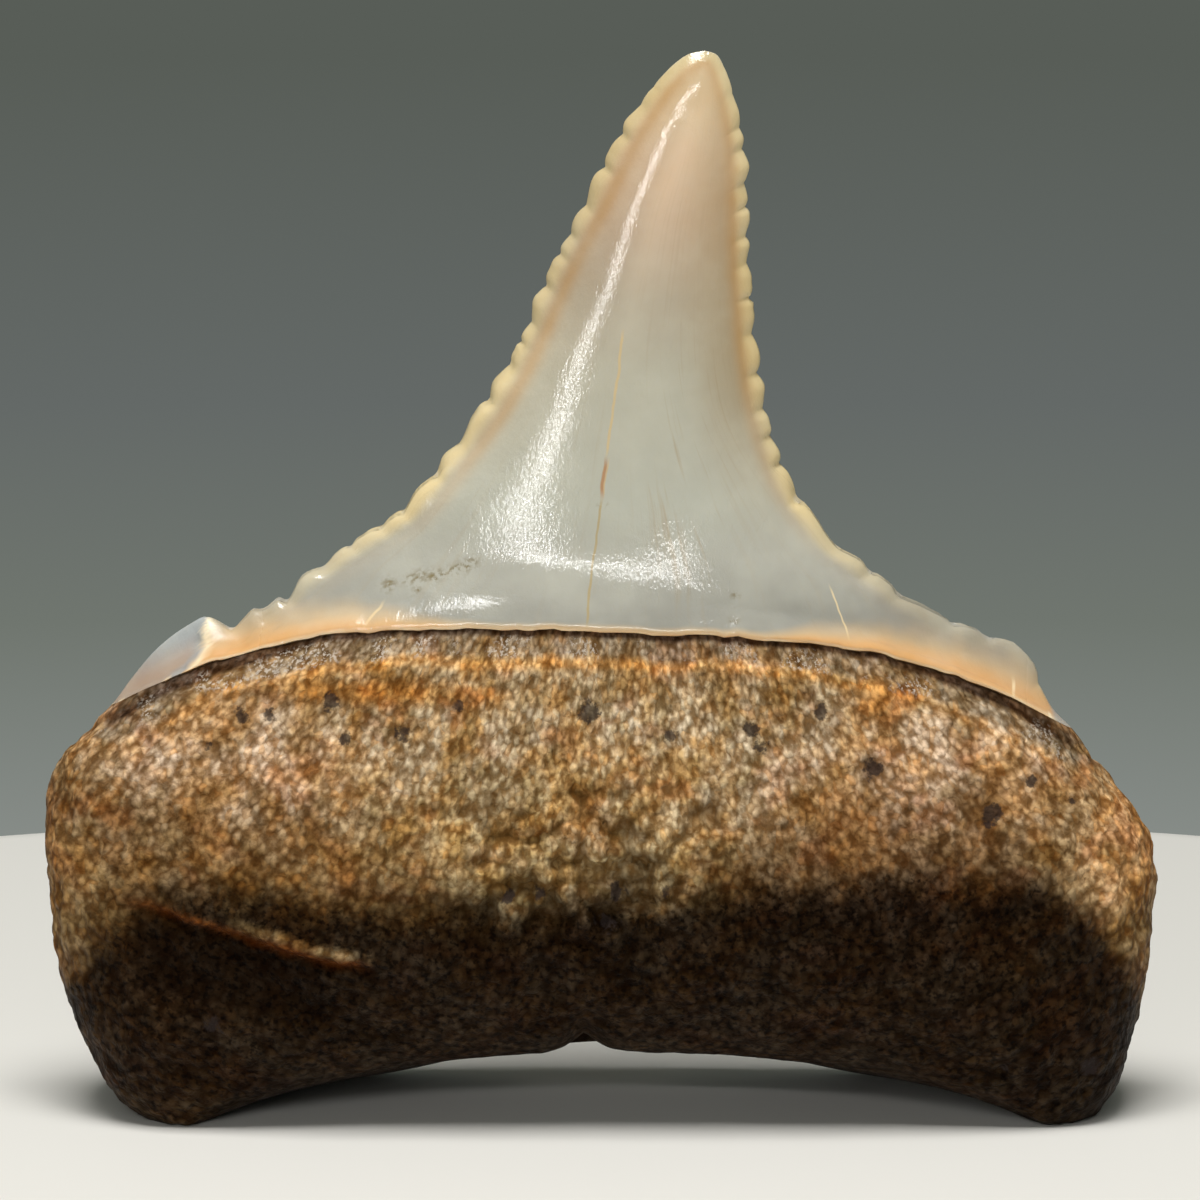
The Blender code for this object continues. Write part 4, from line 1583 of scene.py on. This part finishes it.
    def darkness(self, points: Array, enamel: Array, front: Array) -> Array:
        """Dark mineral spots of the root and dirt specks of the enamel.

        Each is exp(-d^2) of the distance in radii, and the largest counts.

        Args:
            points: The points' places.
            enamel: True on the crown.
            front: True on the bulging face.

        Returns:
            Values from 0 to 1.
        """
        found = np.zeros(len(points))
        for spots, tissue in ((DARK_SPOTS, ~enamel), (ENAMEL_SPECKS, enamel)):
            for x, z, radius in spots:
                away = np.hypot(points[:, 0] - x, points[:, 2] - z) / radius
                found = np.maximum(found, np.where(front & tissue, np.exp(-(away**2)), 0))
        return found

    def streaks(self, points: Array) -> Array:
        """Where the enamel's brownish lengthwise streaks show, from 0 to 1."""
        x, z = points[:, 0], points[:, 2]
        away = ((x - 2.1) / 1.3) ** 2 + ((z - 18.2) / 3.2) ** 2
        return 0.12 + 0.42 * np.exp(-(away**2)) * ease(-points[:, 1], -0.2, 0.4)


# The enamel's colours by height in mm, from the neck to the tip.
CROWN_COLOURS = (
    (12.0, "8c8a82"), (14.2, "908e84"), (15.6, "a6a498"), (17.0, "afaea0"), (20.5, "b2ad9b"),
    (22.5, "b3a792"), (24.5, "c6ae94"), (26.5, "dec2a4"), (28.0, "e6c8a0"), (29.0, "f0d8b4"),
)  # fmt: skip

# Where the blade's ridge is, as z and x.
BLADE_RIDGE = ((20.0, -0.1), (22.0, 0.35), (25.4, 1.4), (28.0, 2.7), (29.0, 3.4))

# The long crack of the right end, as z and x.
RIGHT_END_CRACK = ((10.7, 12.22), (11.15, 12.08), (11.9, 11.87))

ROOT_GROUND = "a08864"

ROOT_STAINS = (
    Stain("ccbca2", (0.0, 10.6), (9.5, 2.4), 0.8, both=True),
    Stain("d4bda6", (-10.5, 9.8), (4.2, 2.3), 0.9),
    Stain("d4bca4", (9.2, 9.8), (3.6, 1.9), 0.85),
    Stain("b6a27c", (-2.0, 8.2), (5.0, 2.2), 0.8),
    Stain("c6b692", (-0.8, 7.5), (3.6, 1.5), 0.8),
    Stain("86694c", (7.8, 7.4), (4.2, 2.4), 0.75),
    Stain("846b48", (-9.4, 7.6), (5.2, 1.7), 0.8, -6.0),
    Stain("e0ba8c", (14.2, 7.6), (1.4, 1.8), 0.9, both=True),
    Stain("402a18", (-12.5, 3.5), (2.6, 3.2), 0.7, both=True),
    Stain("c08a44", (7.6, 11.6), (0.8, 0.45), 0.7),
    Stain("c8913f", (-5.8, 12.1), (3.2, 0.35), 0.6),
)

# The upper border of the painted shade on the root's lower half, as x and z.
PAINTED_SHADE_LINE = (
    (-14.8, 5.0), (-12.8, 6.3), (-11.0, 6.9), (-8.0, 7.0), (-4.0, 6.8), (0.0, 7.0), (4.0, 7.4),
    (8.0, 7.7), (11.5, 7.3), (13.2, 6.2), (14.8, 4.8),
)  # fmt: skip

# Dark mineral spots of the root, as x, z and radius.
DARK_SPOTS = (
    (-5.4, 11.15, 0.3), (-6.95, 10.9, 0.25), (-7.3, 11.85, 0.32), (-8.95, 11.45, 0.25),
    (-0.35, 11.75, 0.4), (1.8, 11.05, 0.28), (4.0, 11.2, 0.32), (4.3, 10.7, 0.28),
    (7.3, 10.1, 0.38), (10.5, 8.75, 0.4), (-3.85, 11.8, 0.2), (-2.55, 6.8, 0.28),
    (11.6, 9.5, 0.2), (12.7, 8.95, 0.15), (5.9, 11.6, 0.25), (-1.7, 6.9, 0.2),
    (13.2, 1.75, 0.35), (10.85, 1.8, 0.18), (-9.7, 11.4, 0.3), (-10.6, 10.6, 0.2),
    (1.7, 6.95, 0.2), (0.4, 6.95, 0.3), (0.1, 6.1, 0.35), (-10.5, 3.1, 0.35),
)  # fmt: skip

# Dirt specks of the enamel, the same way.
ENAMEL_SPECKS = (
    (-5.75, 14.75, 0.16), (-5.2, 14.9, 0.12), (-4.9, 15.0, 0.15), (-4.55, 15.02, 0.16),
    (-4.3, 15.1, 0.12), (-4.0, 15.2, 0.12), (-3.75, 15.3, 0.16), (-3.5, 15.42, 0.14),
    (3.55, 14.65, 0.1), (3.55, 14.0, 0.1), (-5.0, 14.65, 0.1), (0.0, 17.05, 0.07),
    (4.0, 22.35, 0.12),
)  # fmt: skip


@dataclass(frozen=True)
class Lamp:
    """A rectangular soft light.

    Attributes:
        name: Its name.
        place: Its place in mm.
        size: Its width and height in mm.
        power: Its power in watts.
        aim: The point that it faces, in mm.
    """

    name: str
    place: tuple[float, float, float]
    size: Pair
    power: float
    aim: tuple[float, float, float] = (0.0, 0.0, 12.0)

    def hang(self) -> None:
        """Puts the light into the scene."""
        light = bpy.data.lights.new(self.name, "AREA")
        light.shape = "RECTANGLE"
        light.size, light.size_y = self.size[0] * MM, self.size[1] * MM
        light.energy = self.power
        holder = bpy.data.objects.new(self.name, light)
        bpy.context.scene.collection.objects.link(holder)
        holder.location = Vector(self.place) * MM
        way = Vector(self.aim) - Vector(self.place)
        holder.rotation_euler = way.to_track_quat("-Z", "Y").to_euler()


@dataclass
class Studio:
    """A pale matte floor, a dim grey surround, soft lights and the camera.

    Attributes:
        tilt: How far the camera looks down, in degrees.
        distance: From the camera to its target, in mm.
        view_width: The width that the frame takes in at the target, in mm.
        target: The point in the middle of the frame.
        floor_radius: Of the round floor.
        floor_turn: Radius of its rim's turned edge.
        floor_thickness: Of its slab.
        floor_forward: How far its middle is in front of the tooth.
        lamps: The lights.
    """

    tilt: float = 12.0
    distance: float = 230.0
    view_width: float = 32.43
    target: tuple[float, float, float] = (-0.048, 0.56, 14.05)
    floor_radius: float = 64.0
    floor_turn: float = 4.0
    floor_thickness: float = 12.0
    floor_forward: float = 26.0
    lamps: tuple[Lamp, ...] = (
        Lamp("overhead", (-8.0, -50.0, 200.0), (110.0, 90.0), 0.51),
        Lamp("left_strip", (-101.0, -236.0, 58.0), (11.0, 124.0), 0.12),
        Lamp("front_strip", (-10.0, -242.0, 120.0), (190.0, 10.0), 0.13),
    )

    def floor(self) -> bpy.types.Object:
        """A round slab with a softly turned rim: a profile carried round a circle.

        It is board with a pale matte paint, which gives soft light back and hides its lamps.

        Returns:
            The floor's object.
        """
        turn = np.linspace(0, 2 * np.pi, 193)[:-1]
        bend = np.linspace(0, np.pi / 2, 9)
        rim = self.floor_radius - self.floor_turn + self.floor_turn * np.sin(bend)
        radius = np.concatenate([[0.5], rim, [self.floor_radius]])
        drop = self.floor_turn * np.cos(bend) - self.floor_turn
        height = np.concatenate([[0.0], drop, [-self.floor_thickness]])
        x = radius[:, None] * np.cos(turn)
        y = radius[:, None] * np.sin(turn) - self.floor_forward
        z = np.broadcast_to(height[:, None], x.shape)
        points = np.stack([x, y, z], axis=2).reshape(-1, 3) * MM
        count = len(turn)
        row = count * np.arange(len(radius) - 1)[:, None]
        a, b = row + np.arange(count), row + (np.arange(count) + 1) % count
        faces = np.stack([a, a + count, b + count, b], axis=2).reshape(-1, 4).tolist()
        mesh = bpy.data.meshes.new("floor")
        mesh.from_pydata(points.tolist(), [], faces + [list(range(count))])
        mesh.shade_smooth()
        g = Graph(bpy.data.materials.new("pale_matte_board"))
        g.fill(g.tree.nodes["Principled BSDF"], {"Base Color": rgba("d9d6cf"), "Roughness": 0.55})
        mesh.materials.append(g.owner)
        piece = bpy.data.objects.new("floor", mesh)
        bpy.context.scene.collection.objects.link(piece)
        return piece

    def surround(self) -> None:
        """A dim grey world, a little paler near the floor's far rim."""
        g = Graph(bpy.data.worlds.new("surround"))
        height = g.add("SeparateXYZ", g.add("TexCoord", out="Generated"), out=2)
        paled = g.add("ValToRGB", g.add("MapRange", height, -0.24, -0.14))
        stops = ((0.0, "8b908c"), (0.3, "70766f"), (0.55, "646967"), (0.95, "585d57"))
        elements = paled.node.color_ramp.elements
        while len(elements) < len(stops):
            elements.new(0.5)
        for element, (place, hex_code) in zip(elements, stops, strict=True):
            element.position, element.color = place, rgba(hex_code)
        g.fill(g.tree.nodes["Background"], {"Color": paled})
        bpy.context.scene.world = g.owner

    def camera(self) -> None:
        """The camera at the photograph's angle, with no shift and no blur."""
        lens = bpy.data.cameras.new("camera")
        lens.sensor_width = 36.0
        lens.lens = lens.sensor_width * self.distance / self.view_width
        lens.clip_start, lens.clip_end = 0.01, 5.0
        holder = bpy.data.objects.new("camera", lens)
        bpy.context.scene.collection.objects.link(holder)
        tilt = math.radians(self.tilt)
        back = Vector((0.0, -math.cos(tilt), math.sin(tilt)))
        holder.location = (Vector(self.target) + back * self.distance) * MM
        holder.rotation_euler = (-back).to_track_quat("-Z", "Y").to_euler()
        bpy.context.scene.camera = holder

    def set_up(self) -> None:
        """Builds the stage, and shows its light as an ordinary photograph does."""
        bpy.context.scene.view_settings.view_transform = "Standard"
        self.floor()
        self.surround()
        for lamp in self.lamps:
            lamp.hang()
        self.camera()


def main() -> None:
    """Builds the tooth and the studio."""
    logging.basicConfig(level=logging.INFO, format="%(name)s %(message)s")
    piece = FossilTooth().build()
    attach(piece, "root")
    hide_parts("tooth")
    Studio().set_up()


if __name__ == "__main__":
    main()
